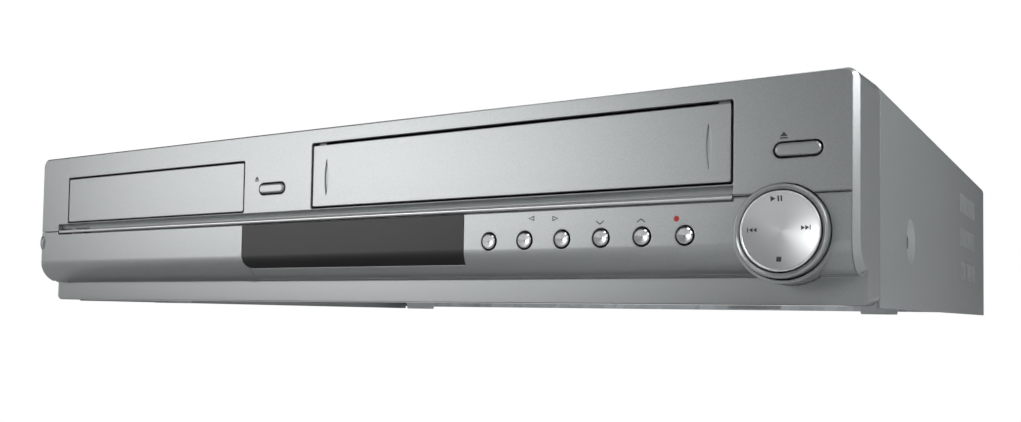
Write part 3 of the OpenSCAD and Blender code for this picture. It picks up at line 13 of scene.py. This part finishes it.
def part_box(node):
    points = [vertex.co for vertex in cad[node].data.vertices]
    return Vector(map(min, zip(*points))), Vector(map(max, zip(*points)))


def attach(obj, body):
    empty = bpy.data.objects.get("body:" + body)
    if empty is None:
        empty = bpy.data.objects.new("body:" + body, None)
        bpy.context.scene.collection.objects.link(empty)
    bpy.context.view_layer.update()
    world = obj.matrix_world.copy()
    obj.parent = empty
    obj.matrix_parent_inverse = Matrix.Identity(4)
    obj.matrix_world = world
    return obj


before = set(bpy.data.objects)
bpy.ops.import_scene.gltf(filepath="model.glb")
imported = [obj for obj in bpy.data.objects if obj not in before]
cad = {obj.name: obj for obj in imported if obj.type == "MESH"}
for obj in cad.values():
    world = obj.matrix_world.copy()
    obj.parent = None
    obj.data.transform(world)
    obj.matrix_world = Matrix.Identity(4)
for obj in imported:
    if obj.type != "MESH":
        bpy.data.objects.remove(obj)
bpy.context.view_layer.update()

# ---------------------------------------------------------------- Studio
# The player stands on a plain pale table of matt painted board, before a plain backdrop. The camera is
# low, near the right-hand corner. Soft lamps stand in front, to the right, and above and behind.

MM = 0.001
FACE_Y = -162.85  # where the face plane and the skirt's lower edge lie in the frame, in millimetres
SKIRT_Z = 1.0


def at(x, y, z):
    """A point in metres from case millimetres: x right, y behind the face, z above the skirt's lower edge."""
    return Vector((x * MM, (y + FACE_Y) * MM, (z + SKIRT_Z) * MM))


def paint(code):
    """A linear colour from an sRGB hex value."""
    parts = [int(code[i : i + 2], 16) / 255 for i in (1, 3, 5)]
    return tuple(c / 12.92 if c <= 0.04045 else ((c + 0.055) / 1.055) ** 2.4 for c in parts) + (1.0,)


def add(tree, kind, inputs=None, **settings):
    """Adds one node. Inputs are values, sockets to link from, or nodes whose first output is linked.

    Settings are the node's own properties.
    """
    made = tree.nodes.new(kind)
    for name, value in settings.items():
        setattr(made, name, value)
    for name, value in (inputs or {}).items():
        if isinstance(value, bpy.types.Node):
            value = value.outputs[0]
        if isinstance(value, bpy.types.NodeSocket):
            tree.links.new(value, made.inputs[name])
        else:
            made.inputs[name].default_value = value
    return made


def pale_board(name, code, half_width, half_depth, near, far):
    """Matt painted board, plain white to the lens and not seen from below. Lengths are in metres.

    To gloss it is white under the player, within half_width and half_depth of the middle, and elsewhere it
    turns white from near to far.
    """
    made = bpy.data.materials.new(name)
    made.use_nodes = True
    tree = made.node_tree
    tree.nodes.clear()
    seen = add(tree, "ShaderNodeLightPath").outputs
    spot = add(tree, "ShaderNodeTexCoord").outputs["Object"]
    reach = add(tree, "ShaderNodeVectorMath", {0: spot}, operation="LENGTH").outputs["Value"]
    away = add(tree, "ShaderNodeMapRange", {"Value": reach, "From Min": near, "From Max": far})
    aside = add(tree, "ShaderNodeVectorMath", {0: spot}, operation="ABSOLUTE")
    sides = add(tree, "ShaderNodeSeparateXYZ", {0: aside}).outputs
    in_width = add(tree, "ShaderNodeMath", {0: sides["X"], 1: half_width}, operation="LESS_THAN")
    in_depth = add(tree, "ShaderNodeMath", {0: sides["Y"], 1: half_depth}, operation="LESS_THAN")
    under = add(tree, "ShaderNodeMath", {0: in_width, 1: in_depth}, operation="MULTIPLY")
    place = add(tree, "ShaderNodeMath", {0: away, 1: under}, operation="MAXIMUM")
    gloss = add(tree, "ShaderNodeMath", {0: seen["Is Glossy Ray"], 1: place}, operation="MULTIPLY")
    eye = add(tree, "ShaderNodeMath", {0: seen["Is Camera Ray"], 1: gloss}, operation="MAXIMUM")
    plain = add(tree, "ShaderNodeMath", {0: eye, 1: seen["Is Transmission Ray"]}, operation="MAXIMUM")
    matt = add(tree, "ShaderNodeBsdfDiffuse", {"Color": paint(code)})
    white = add(tree, "ShaderNodeEmission", {"Color": paint("#ffffff"), "Strength": 1.0})
    above = add(tree, "ShaderNodeMixShader", {0: plain, 1: matt, 2: white})
    clear = add(tree, "ShaderNodeBsdfTransparent")
    from_below = add(tree, "ShaderNodeNewGeometry").outputs["Backfacing"]
    both = add(tree, "ShaderNodeMixShader", {0: from_below, 1: above, 2: clear})
    add(tree, "ShaderNodeOutputMaterial", {"Surface": both})
    return made


# The table is 12 m by 9 m, so its edges stay out of view.
x0, x1, y0, y1 = -6, 6, -3, 6
table = bpy.data.meshes.new("table_top")
table.from_pydata([(x0, y0, 0), (x1, y0, 0), (x1, y1, 0), (x0, y1, 0)], [], [(0, 1, 2, 3)])
board = pale_board("painted_table_board", "#d9d9d9", half_width=0.205, half_depth=0.148, near=0.7, far=2.0)
table.materials.append(board)
table_top = bpy.data.objects.new("table_top", table)
bpy.context.scene.collection.objects.link(table_top)

# The backdrop is plain white to the lens, and lights the player evenly and dimly.
world = bpy.data.worlds.new("studio_air")
bpy.context.scene.world = world
world.use_nodes = True
air = world.node_tree
air.nodes.clear()
seen = add(air, "ShaderNodeLightPath").outputs
rays = {0: seen["Is Camera Ray"], 1: seen["Is Transmission Ray"]}
through = add(air, "ShaderNodeMath", rays, operation="MAXIMUM")
dim = add(air, "ShaderNodeBackground", {"Color": paint("#c4c6c8"), "Strength": 0.08})
white = add(air, "ShaderNodeBackground", {"Color": paint("#ffffff"), "Strength": 1.0})
mixed = add(air, "ShaderNodeMixShader", {0: through, 1: dim, 2: white})
add(air, "ShaderNodeOutputWorld", {"Surface": mixed})


def soft_lamp(name, place, aim, width, height, watts, code="#ffffff"):
    """A soft panel lamp that faces its aim. Places and sizes are in metres."""
    lamp = bpy.data.lights.new(name, "AREA")
    lamp.color = paint(code)[:3]
    lamp.shape = "RECTANGLE"
    lamp.size, lamp.size_y, lamp.energy = width, height, watts
    made = bpy.data.objects.new(name, lamp)
    bpy.context.scene.collection.objects.link(made)
    made.location = place
    made.rotation_euler = (Vector(aim) - Vector(place)).to_track_quat("-Z", "Y").to_euler()


# Three low lamps at the left are mirrored in the face, which brightens toward that end. The top lamp stands
# above and behind, and the others fill in from the front and the right.
WARM = "#fffdfc"
soft_lamp("key_lamp", (-0.85, -0.95, 0.22), (-0.05, -0.16, 0.05), 0.5, 0.35, 1.68, WARM)
soft_lamp("middle_lamp", (-0.575, -1.116, 0.25), (0.03, -0.16, 0.05), 0.4, 0.35, 1.1, WARM)
soft_lamp("near_lamp", (-0.35, -1.15, 0.22), (0.05, -0.16, 0.05), 0.4, 0.35, 0.47)
soft_lamp("front_lamp", (0.7, -1.2, 0.6), (0.0, -0.1, 0.04), 0.9, 0.7, 0.6)
soft_lamp("floor_lamp", (0.35, -0.55, 0.9), (0.15, -0.35, 0.0), 0.3, 0.3, 1.6)
soft_lamp("top_lamp", (-0.4, 0.55, 1.3), (0.0, 0.05, 0.05), 1.0, 0.8, 9.0)
soft_lamp("right_lamp", (0.6, -0.25, 0.29), (0.215, -0.07, 0.04), 0.25, 0.25, 1.6)
soft_lamp("rear_lamp", (0.95, 0.65, 0.12), (0.215, -0.06, 0.04), 0.3, 0.3, 0.45)

# The camera is turned left, looks slightly up from just below the table's height, and leans a little.
yaw, pitch, roll = math.radians(31.805), math.radians(2.348), math.radians(0.912)
ahead = Vector((-math.sin(yaw) * math.cos(pitch), math.cos(yaw) * math.cos(pitch), math.sin(pitch)))
level = Vector((math.cos(yaw), math.sin(yaw), 0))
upward = Vector((math.sin(yaw) * math.sin(pitch), -math.cos(yaw) * math.sin(pitch), math.cos(pitch)))
right = level * math.cos(roll) + upward * math.sin(roll)
top = upward * math.cos(roll) - level * math.sin(roll)
lens = bpy.data.cameras.new("camera")
lens.sensor_width, lens.lens, lens.shift_y = 36.0, 34.556, 0.06264
lens.clip_start, lens.clip_end = 0.01, 30
camera = bpy.data.objects.new("camera", lens)
bpy.context.scene.collection.objects.link(camera)
camera.location = at(282.237, -316.676, -4.827)
camera.rotation_euler = Matrix((right, top, -ahead)).transposed().to_euler()
bpy.context.scene.camera = camera
bpy.context.scene.view_settings.view_transform = "Standard"

# ---------------------------------------------------------------- Top cover
# The cover is one sheet of 1 mm steel, punched with vents, dished round its side screws and folded into a U.
# It is powder coated, so it has a satin skin with a fine grain, about 0.4 mm across.

GRAIN_LEVELS = (0.35, 0.65)  # most of a noise pattern's values lie between these


def finish(name, code, metallic=0.0, roughness=0.5, ior=1.5, coat=0.0, edge_mm=0.0):
    """A material of one shader, named skin. Its patterns read Object coordinates from a node named place.

    edge_mm is the radius of the small rounding that moulding, folding or plating leaves on every edge.
    """
    made = bpy.data.materials.new(name)
    made.use_nodes = True
    tree = made.node_tree
    tree.nodes.clear()
    looks = {
        "Base Color": paint(code),
        "Metallic": metallic,
        "Roughness": roughness,
        "IOR": ior,
        "Coat Weight": coat,
    }
    skin = add(tree, "ShaderNodeBsdfPrincipled", looks, name="skin")
    add(tree, "ShaderNodeOutputMaterial", {"Surface": skin})
    add(tree, "ShaderNodeTexCoord", name="place")
    if edge_mm:
        rounded = add(tree, "ShaderNodeBevel", {"Radius": edge_mm * MM}, samples=8)
        tree.links.new(rounded.outputs[0], skin.inputs["Normal"])
    return made


def skin_of(material):
    """A finish's shader."""
    return material.node_tree.nodes["skin"]


def place_of(material):
    """The Object coordinates that a finish's patterns read."""
    return material.node_tree.nodes["place"].outputs["Object"]


def speckle(material, codes, size_mm, bump_mm=0.0, stretch=(1, 1, 1)):
    """Mixes two shades over grains of a real size, and raises the same grains."""
    tree, skin = material.node_tree, skin_of(material)
    scaled = add(tree, "ShaderNodeMapping", {"Vector": place_of(material), "Scale": stretch})
    cloud = {"Vector": scaled, "Scale": 1 / (size_mm * MM), "Detail": 2.0, "Roughness": 0.6}
    grain = add(tree, "ShaderNodeTexNoise", cloud).outputs["Fac"]
    shade = add(tree, "ShaderNodeValToRGB", {0: grain})
    for stop, level, code in zip(shade.color_ramp.elements, GRAIN_LEVELS, codes):
        stop.position, stop.color = level, paint(code)
    tree.links.new(shade.outputs[0], skin.inputs["Base Color"])
    if bump_mm:
        raised = add(tree, "ShaderNodeBump", {"Height": grain, "Strength": 0.6, "Distance": bump_mm * MM})
        for link in skin.inputs["Normal"].links:
            tree.links.new(link.from_socket, raised.inputs["Normal"])
        tree.links.new(raised.outputs[0], skin.inputs["Normal"])


def dress(material, *nodes):
    """Gives CAD nodes a material."""
    for name in nodes:
        cad[name].data.materials.clear()
        cad[name].data.materials.append(material)


satin_coat = finish("satin_powder_coat_on_steel", "#a2a6a7", metallic=0.35, roughness=0.38, edge_mm=0.4)
speckle(satin_coat, ("#9da1a2", "#a8acad"), size_mm=0.4, bump_mm=0.01)
dress(satin_coat, "top_cover")

# ---------------------------------------------------------------- Rear panel and inner frames
# The rear panel, the deck's plate, brackets and cassette holder, and the disc drive's case, lid and traverse
# are punched and folded from zinc-plated steel. Zinc shows soft crystalline patches, about 6 mm across.

spangle_mm = 6.25
zinc = finish("zinc_plated_steel", "#a6abae", metallic=1.0, roughness=0.4)
tree = zinc.node_tree
crystals = {"Vector": place_of(zinc), "Scale": 1 / (spangle_mm * MM)}
spangle = add(tree, "ShaderNodeTexVoronoi", crystals).outputs["Color"]
tone = add(tree, "ShaderNodeValToRGB", {0: spangle})
for stop, code in zip(tone.color_ramp.elements, ("#989da0", "#b4b8bb")):
    stop.color = paint(code)
tree.links.new(tone.outputs[0], skin_of(zinc).inputs["Base Color"])
dress(zinc, "rear_panel", "side_brackets", "deck_plate", "cassette_holder")
dress(zinc, "drive_case", "drive_lid", "traverse")

# ---------------------------------------------------------------- Chassis tray
# The chassis is a shallow tray of bright zinc-plated steel, its sides folded up. It is smoother than the
# other sheet parts, so its underside mirrors the pale table.

bright_zinc = finish("bright_zinc_plated_steel", "#cfd2d4", metallic=1.0, roughness=0.12)
speckle(bright_zinc, ("#c9cccf", "#d5d8da"), size_mm=6.0)
dress(bright_zinc, "chassis_tray")

# ---------------------------------------------------------------- Screws, pinch arm and tape heads
# Pan-head screws of cold-headed steel hold the cover and the rear panel. Their bright zinc plate is a little
# brighter than sheet. The deck's pinch arm and the cans of its two fixed heads have the same plate.

screw_zinc = finish("bright_zinc_screws", "#c2c6c8", metallic=1.0, roughness=0.25)
speckle(screw_zinc, ("#bcc0c2", "#cacdcf"), size_mm=1.0)
dress(screw_zinc, "cover_screws", "pinch_arm", "tape_heads")

# ---------------------------------------------------------------- Feet
# The four feet are low round pads of moulded thermoplastic rubber, set under the chassis tray. The mould's
# texture gives them a matt, pale grey skin.

foot_rubber = finish("moulded_pale_grey_rubber", "#c3c5c6", roughness=0.7)
speckle(foot_rubber, ("#bfc1c2", "#c8cacb"), size_mm=0.8, bump_mm=0.03)
dress(foot_rubber, "feet")

# ---------------------------------------------------------------- Front moulding
# The front, lower panel, flap, two doors, long buttons and the pad's ring are injection-moulded ABS under
# silver metallic paint. Its aluminium flakes brighten toward the lamps, with a faint sparkle.


def silver_paint(name, codes, metallic, roughness):
    """Metallic paint on ABS with flakes drawn 0.35 mm across, coarse enough to show."""
    made = finish(name, codes[1], metallic=metallic, roughness=roughness, coat=0.1, edge_mm=0.5)
    speckle(made, codes, size_mm=0.35, bump_mm=0.006)
    skin_of(made).inputs["Coat Roughness"].default_value = 0.2
    return made


silver = silver_paint("silver_metallic_paint_on_abs", ("#a3a7a8", "#afb3b4"), metallic=0.6, roughness=0.33)
dress(silver, "front_panel", "lower_panel", "av_flap", "cassette_door", "tray_fascia")
dress(silver, "open_button", "eject_button", "pad_ring")

# ---------------------------------------------------------------- Trim bar and power button
# The bar is moulded in ABS and lies in a groove across the front. Its left end is a piece of its own, the
# power button. Both have a paler, smoother silver paint, so they read as one bright line.

pale_silver = silver_paint("pale_silver_paint_on_abs", ("#d9dbdc", "#e2e4e5"), metallic=0.7, roughness=0.28)
dress(pale_silver, "trim_bar", "power_button")

# ---------------------------------------------------------------- Display window
# The window is moulded in smoked acrylic, nearly black. Its anti-glare skin weakens and scatters what it
# mirrors, so only a dim haze shows.

smoked = finish("smoked_acrylic", "#141316", roughness=0.35, ior=1.49, edge_mm=0.3)
speckle(smoked, ("#121114", "#171619"), size_mm=30.0)
skin_of(smoked).inputs["Specular IOR Level"].default_value = 0.42
dress(smoked, "display_window")

# ---------------------------------------------------------------- Control pad
# The pad is a dished disc turned from aluminium and clear anodised, which rocks on a gimbal. Its turning
# marks spread the light into a fan that goes round with them.

RING_STEP = 0.1 * math.pi  # distance between the rings of a Wave texture at scale 1


def middle(node):
    """The middle of a CAD node's box."""
    low, high = (Vector(corner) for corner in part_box(node))
    return (low + high) / 2


def turn(material, centre, codes, ring_mm, amount, pitch=0.0):
    """Turning marks about a centre, seen from the front: rings of two shades, and light along the radius.

    The rings are drawn ring_mm apart, coarse enough to show. With a pitch, their centre repeats along X.
    """
    tree, skin = material.node_tree, skin_of(material)
    measured = {0: place_of(material), 1: centre}
    centred = add(tree, "ShaderNodeVectorMath", measured, operation="SUBTRACT")
    if pitch:
        along = add(tree, "ShaderNodeSeparateXYZ", {0: centred}).outputs
        row_step = {0: along["X"], 1: pitch / 2, 2: -pitch / 2}
        repeated = add(tree, "ShaderNodeMath", row_step, operation="WRAP")
        centred = add(tree, "ShaderNodeCombineXYZ", {"X": repeated, "Z": along["Z"]})
    flat = add(tree, "ShaderNodeVectorMath", {0: centred, 1: (1, 0, 1)}, operation="MULTIPLY")
    wave = {"Vector": flat, "Scale": RING_STEP / (ring_mm * MM), "Distortion": 0.4}
    rings = add(tree, "ShaderNodeTexWave", wave, wave_type="RINGS", rings_direction="SPHERICAL")
    shade = add(tree, "ShaderNodeValToRGB", {0: rings.outputs["Fac"]})
    for stop, code in zip(shade.color_ramp.elements, codes):
        stop.color = paint(code)
    tree.links.new(shade.outputs[0], skin.inputs["Base Color"])
    spaces = {"vector_type": "VECTOR", "convert_from": "OBJECT", "convert_to": "WORLD"}
    radius = add(tree, "ShaderNodeVectorTransform", {0: flat}, **spaces)
    tree.links.new(radius.outputs[0], skin.inputs["Tangent"])
    skin.inputs["Anisotropic"].default_value = amount


pad_low = Vector(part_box("control_pad")[0])
pad_centre = middle("control_pad")
pad_alloy = finish("turned_anodised_aluminium", "#dfe2e3", metallic=0.92, roughness=0.36, edge_mm=0.2)
turn(pad_alloy, pad_centre, ("#dadddf", "#e4e7e8"), ring_mm=0.5, amount=0.42)
dress(pad_alloy, "control_pad")

# ---------------------------------------------------------------- Bead on the pad's rim
# After anodising, the pad's rim is cut with a diamond tool. That leaves a round bead of bare aluminium, a
# bright line all round the pad.

bead_back = 0.1 * MM  # how far the middle of the bead is behind the pad's front
bead_sizes = {
    "Rim Radius": 12.85 * MM,
    "Bead Radius": 0.38 * MM,
    "Centre": (pad_centre.x, pad_low.y + bead_back, pad_centre.z),
}
quarter_turn = (math.pi / 2, 0, 0)  # from lying flat to facing the front

bead = bpy.data.node_groups.new("rim_bead", "GeometryNodeTree")
for label, size in bead_sizes.items():
    kind = "NodeSocketVector" if isinstance(size, tuple) else "NodeSocketFloat"
    bead.interface.new_socket(label, in_out="INPUT", socket_type=kind)
bead.interface.new_socket("Material", in_out="INPUT", socket_type="NodeSocketMaterial")
bead.interface.new_socket("Geometry", in_out="OUTPUT", socket_type="NodeSocketGeometry")
given = add(bead, "NodeGroupInput").outputs
path = add(bead, "GeometryNodeCurvePrimitiveCircle", {"Resolution": 128, "Radius": given["Rim Radius"]})
section = add(bead, "GeometryNodeCurvePrimitiveCircle", {"Resolution": 16, "Radius": given["Bead Radius"]})
swept = add(bead, "GeometryNodeCurveToMesh", {"Curve": path, "Profile Curve": section})
smooth = add(bead, "GeometryNodeSetShadeSmooth", {"Geometry": swept})
placing = {"Geometry": smooth, "Translation": given["Centre"], "Rotation": quarter_turn}
placed = add(bead, "GeometryNodeTransform", placing)
real = add(bead, "GeometryNodeRealizeInstances", {"Geometry": placed})
clad = add(bead, "GeometryNodeSetMaterial", {"Geometry": real, "Material": given["Material"]})
add(bead, "NodeGroupOutput", {"Geometry": clad})

cut_alloy = finish("diamond_cut_aluminium", "#eff0f1", metallic=0.9, roughness=0.35)
speckle(cut_alloy, ("#ebeced", "#f4f5f6"), size_mm=1.0)

pad_rim_bead = bpy.data.objects.new("pad_rim_bead", bpy.data.meshes.new("pad_rim_bead"))
bpy.context.scene.collection.objects.link(pad_rim_bead)
shaping = pad_rim_bead.modifiers.new("shape", "NODES")
shaping.node_group = bead
for socket in bead.interface.items_tree:
    if socket.in_out == "INPUT":
        shaping[socket.identifier] = cut_alloy if socket.name == "Material" else bead_sizes[socket.name]
shaped = pad_rim_bead.evaluated_get(bpy.context.evaluated_depsgraph_get())
plain = bpy.data.meshes.new_from_object(shaped)
pad_rim_bead.modifiers.remove(shaping)
# The result comes with an empty material slot, so its slots are filled again.
plain.materials.clear()
plain.materials.append(cut_alloy)
plain.polygons.foreach_set("material_index", [0] * len(plain.polygons))
pad_rim_bead.data = plain
plain.name = "pad_rim_bead"
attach(pad_rim_bead, "pad")

# ---------------------------------------------------------------- Round buttons
# The six buttons are turned from brass and plated with satin chromium, whose fine rings turn the light into
# sectors. They stand in a row of one pitch, so the rings' middle repeats along it.

row = ["source_button", "copy_disc_button", "copy_tape_button"]
row += ["channel_down_button", "channel_up_button", "record_button"]
first, last = middle(row[0]), middle(row[-1])
pitch = (last.x - first.x) / (len(row) - 1)
satin_chrome = finish("satin_chrome_on_brass", "#e2e4e6", metallic=1.0, roughness=0.28)
turn(satin_chrome, first, ("#dcdee0", "#e8eaec"), ring_mm=0.4, amount=0.85, pitch=pitch)
dress(satin_chrome, *row)

# ---------------------------------------------------------------- Dark grey mouldings
# The socket panel behind the flap, the pad's gimbal, the disc tray, the deck's motors and the fan's rotor
# are injection-moulded ABS. A lightly textured mould leaves them dull, with a faint grain.

dark_moulding = finish("dark_grey_moulded_abs", "#37383b", roughness=0.55)
speckle(dark_moulding, ("#333437", "#3c3d40"), size_mm=0.6, bump_mm=0.02)
dress(dark_moulding, "av_jack_panel", "pad_gimbal", "disc_tray", "deck_motors", "fan_rotor")

# ---------------------------------------------------------------- Black mouldings
# The rear sockets' shells, the mains inlet, the fan's frame, the pickup sled and the clamp puck are moulded
# in PBT, which stands heat. It is black, with a slight shine.

black_moulding = finish("black_moulded_pbt", "#1b1b1d", roughness=0.45)
speckle(black_moulding, ("#18181a", "#202022"), size_mm=0.6, bump_mm=0.015)
dress(black_moulding, "scart_sockets", "mains_inlet", "fan_frame", "pickup_sled", "clamp_puck")

# ---------------------------------------------------------------- Phono sockets
# The phono and aerial sockets, at the front and the back, are blocks of moulded ivory nylon that stand
# through holes in their panels. Nylon is a little glossy, and warm in colour.

ivory_moulding = finish("ivory_moulded_nylon", "#d8d2bf", roughness=0.45)
speckle(ivory_moulding, ("#d3cdb9", "#dcd7c6"), size_mm=3.0)
dress(ivory_moulding, "front_jacks", "rear_jacks")

# ---------------------------------------------------------------- Circuit boards
# The front and main boards are glass-epoxy laminate under green solder resist, which is glossy and slightly
# uneven. The power board is bare brown paper-phenolic laminate, and dull.

resist_board = finish("green_resist_on_glass_epoxy", "#2c5a37", roughness=0.35, coat=0.2)
speckle(resist_board, ("#264f30", "#33653f"), size_mm=4.0)
dress(resist_board, "front_board", "main_board")

phenolic_board = finish("brown_paper_phenolic", "#a4713c", roughness=0.55)
speckle(phenolic_board, ("#98672f", "#ae7b46"), size_mm=5.0)
dress(phenolic_board, "power_board")

# ---------------------------------------------------------------- Display tube
# The display is a flat evacuated tube of tinted glass, soldered to the front board by two rows of leads. Its
# glass is polished, so it mirrors sharply.

tube_glass = finish("tinted_display_glass", "#3f4a47", roughness=0.08, ior=1.52, coat=0.5)
speckle(tube_glass, ("#3a4542", "#45514d"), size_mm=12.0)
dress(tube_glass, "display_tube")

# ---------------------------------------------------------------- Gears, reels and sliders
# The carriage's sliders, the reels and the gears are injection-moulded in white acetal, which runs dry on
# steel. A little light goes into it, so it looks waxy.

acetal = finish("white_acetal", "#dcdad2", roughness=0.4, ior=1.48)
skin_of(acetal).inputs["Subsurface Weight"].default_value = 0.1
speckle(acetal, ("#d8d6cd", "#e0ded7"), size_mm=8.0)
dress(acetal, "carriage_sliders", "supply_reel", "take_up_reel", "cam_gear", "tray_gear")

# ---------------------------------------------------------------- Head drum
# The lower and upper drums are turned from aluminium. Fine grooves round them hold a film of air under the
# tape, and show as thin level lines.

turned_alloy = finish("turned_aluminium", "#c5c8ca", metallic=1.0, roughness=0.28)
speckle(turned_alloy, ("#bcbfc1", "#cdd0d2"), size_mm=1.2, bump_mm=0.01, stretch=(0.05, 0.05, 1))
dress(turned_alloy, "lower_drum", "upper_drum")

# ---------------------------------------------------------------- Capstan, guides and door spring
# The capstan with its flywheel and the two tape guides are steel, ground and polished. The cassette door's
# spring is close-wound steel wire round its right pin. All are bright.

hard_steel = finish("ground_steel", "#a9acae", metallic=1.0, roughness=0.2)
speckle(hard_steel, ("#a2a5a7", "#b0b3b5"), size_mm=1.0)
dress(hard_steel, "capstan", "supply_guide", "take_up_guide", "door_spring")

# ---------------------------------------------------------------- Pinch roller and spindle turntable
# The pinch roller and the disc's turntable are black rubber, moulded and ground true, so they are matt and
# faintly grained.

black_rubber = finish("black_rubber", "#161617", roughness=0.85)
speckle(black_rubber, ("#131314", "#1b1b1c"), size_mm=1.0, bump_mm=0.03)
dress(black_rubber, "pinch_roller", "spindle_table")

# ---------------------------------------------------------------- Printed marks on the face
# The keys have small generic marks, pad-printed in dark grey ink: triangles, bars and chevrons. The record
# key has a red dot. Each stands 0.04 mm proud, as thick ink does, and reaches 0.06 mm into the paint.


def ink(name, codes):
    """Pad-printing ink: matt, with a slight mottle."""
    made = finish(name, codes[0], roughness=0.55)
    speckle(made, codes, size_mm=1.0)
    return made


def flat_face(x, z):
    """Depth of the face and the lower panel."""
    return 0.0


def printed(name, shapes, material, body, surface=flat_face, proud=0.04, depth=0.06):
    """Marks from (x, z) outlines in case millimetres, anticlockwise from the front.

    Outlines may share edges. Surface gives the depth of what they are printed on.
    """
    mesh = bmesh.new()
    corners = {}
    for x, z in sorted({point for shape in shapes for point in shape}):
        y = surface(x, z)
        corners[x, z] = mesh.verts.new(at(x, y - proud, z)), mesh.verts.new(at(x, y + depth, z))
    edges = {(a, b) for shape in shapes for a, b in zip(shape, shape[1:] + shape[:1])}
    for shape in shapes:
        mesh.faces.new([corners[point][0] for point in shape])
        mesh.faces.new([corners[point][1] for point in shape[::-1]])
    for a, b in sorted(edges):
        if (b, a) not in edges:
            mesh.faces.new((corners[b][0], corners[a][0], corners[a][1], corners[b][1]))
    data = bpy.data.meshes.new(name)
    mesh.to_mesh(data)
    mesh.free()
    data.materials.append(material)
    made = bpy.data.objects.new(name, data)
    bpy.context.scene.collection.objects.link(made)
    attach(made, body)


def bar(x, z, width, height):
    """An upright or level bar about (x, z)."""
    w, h = width / 2, height / 2
    return [(x - w, z - h), (x + w, z - h), (x + w, z + h), (x - w, z + h)]


def arrow(x, z, length, height):
    """A solid triangle that points right, or left where length is negative, its base at x."""
    shape = [(x, z - height / 2), (x + length, z), (x, z + height / 2)]
    return shape if length > 0 else shape[::-1]


def open_arrow(x, z, length, height, stroke=0.3):
    """A triangle drawn in strokes, as three strips that share their corners."""
    shorter, lower = 2.9, 3.4  # the triangle inside is this many strokes shorter and lower
    inset = stroke if length > 0 else -stroke
    outer = arrow(x, z, length, height)
    inner = arrow(x + inset, z, length - inset * shorter, height - stroke * lower)
    return [[outer[i], outer[(i + 1) % 3], inner[(i + 1) % 3], inner[i]] for i in range(3)]


def eject_mark(x, z, width=2.6):
    """A triangle over a bar."""
    foot, tip, bar_z, bar_height = z - 0.35, z + 1.15, z - 0.9, 0.45
    triangle = [(x - width / 2, foot), (x + width / 2, foot), (x, tip)]
    return [triangle, bar(x, bar_z, width, bar_height)]


def chevron(x, z, way, width=3.2):
    """An open arrow head that points up (1) or down (-1)."""
    start, end = x - width / 2, x + width / 2
    foot, tip = z - 0.75 * way, z + 0.9 * way
    end_thick, tip_thick = 0.4 * way, 0.5 * way
    inside = [(start, foot), (x, tip - tip_thick), (end, foot)]
    outside = [(end, foot + end_thick), (x, tip), (start, foot + end_thick)]
    shape = inside + outside
    return shape if way > 0 else shape[::-1]


def dot(x, z, radius, corners=24):
    """A round dot."""
    turns = [i * math.tau / corners for i in range(corners)]
    return [(x + radius * math.cos(a), z + radius * math.sin(a)) for a in turns]


grey_ink = ink("dark_grey_ink", ("#3c3e40", "#434547"))
red_ink = ink("red_ink", ("#b8332d", "#c03a33"))
printed("printed_eject_marks", eject_mark(-50.9, 55.35) + eject_mark(190.0, 55.3), grey_ink, "case")
copy_marks = open_arrow(96.0, 31.7, -2.7, 2.0) + open_arrow(103.8, 31.3, 2.7, 2.0)
channel_marks = [chevron(123.5, 29.15, -1), chevron(139.6, 29.15, 1)]
printed("printed_key_marks", copy_marks + channel_marks, grey_ink, "case")
printed("printed_record_dot", [dot(152.9, 29.35, 1.0)], red_ink, "case")

# ---------------------------------------------------------------- Printed marks on the pad
# The same grey ink marks the pad's four ways: play and pause above, stop below, and skip at either side. The
# marks lie in the dish, which is part of a ball, and move with the pad.

pad_x, pad_z = pad_centre.x / MM, pad_centre.z / MM - SKIRT_Z
rim_depth = pad_low.y / MM - FACE_Y
dish_mouth, dish_depth = 12.7, 1.4  # radius of the dish's mouth, and its depth in the middle
ball = (dish_mouth**2 + dish_depth**2) / (2 * dish_depth)


def dish(x, z):
    """Depth of the pad's dish."""
    return rim_depth + dish_depth - ball + math.sqrt(ball**2 - (x - pad_x) ** 2 - (z - pad_z) ** 2)


play_z, stop_z, back_z, on_z = pad_z + 10.6, pad_z - 9.1, pad_z + 0.6, pad_z + 0.9
play = [arrow(pad_x - 3.1, play_z, 1.6, 1.8)]
pause = [bar(pad_x + x, play_z, 0.5, 1.8) for x in (-0.6, 0.4)]
stop = [bar(pad_x - 0.4, stop_z, 1.6, 1.6)]
back = [bar(pad_x - 10.7, back_z, 0.3, 1.5)] + [arrow(pad_x + x, back_z, -1.2, 1.5) for x in (-9.1, -7.8)]
on = [arrow(pad_x + x, on_z, 1.3, 1.6) for x in (6.6, 8.0)] + [bar(pad_x + 9.6, on_z, 0.3, 1.6)]
printed("printed_pad_marks", play + pause + stop + back + on, grey_ink, "pad", dish)
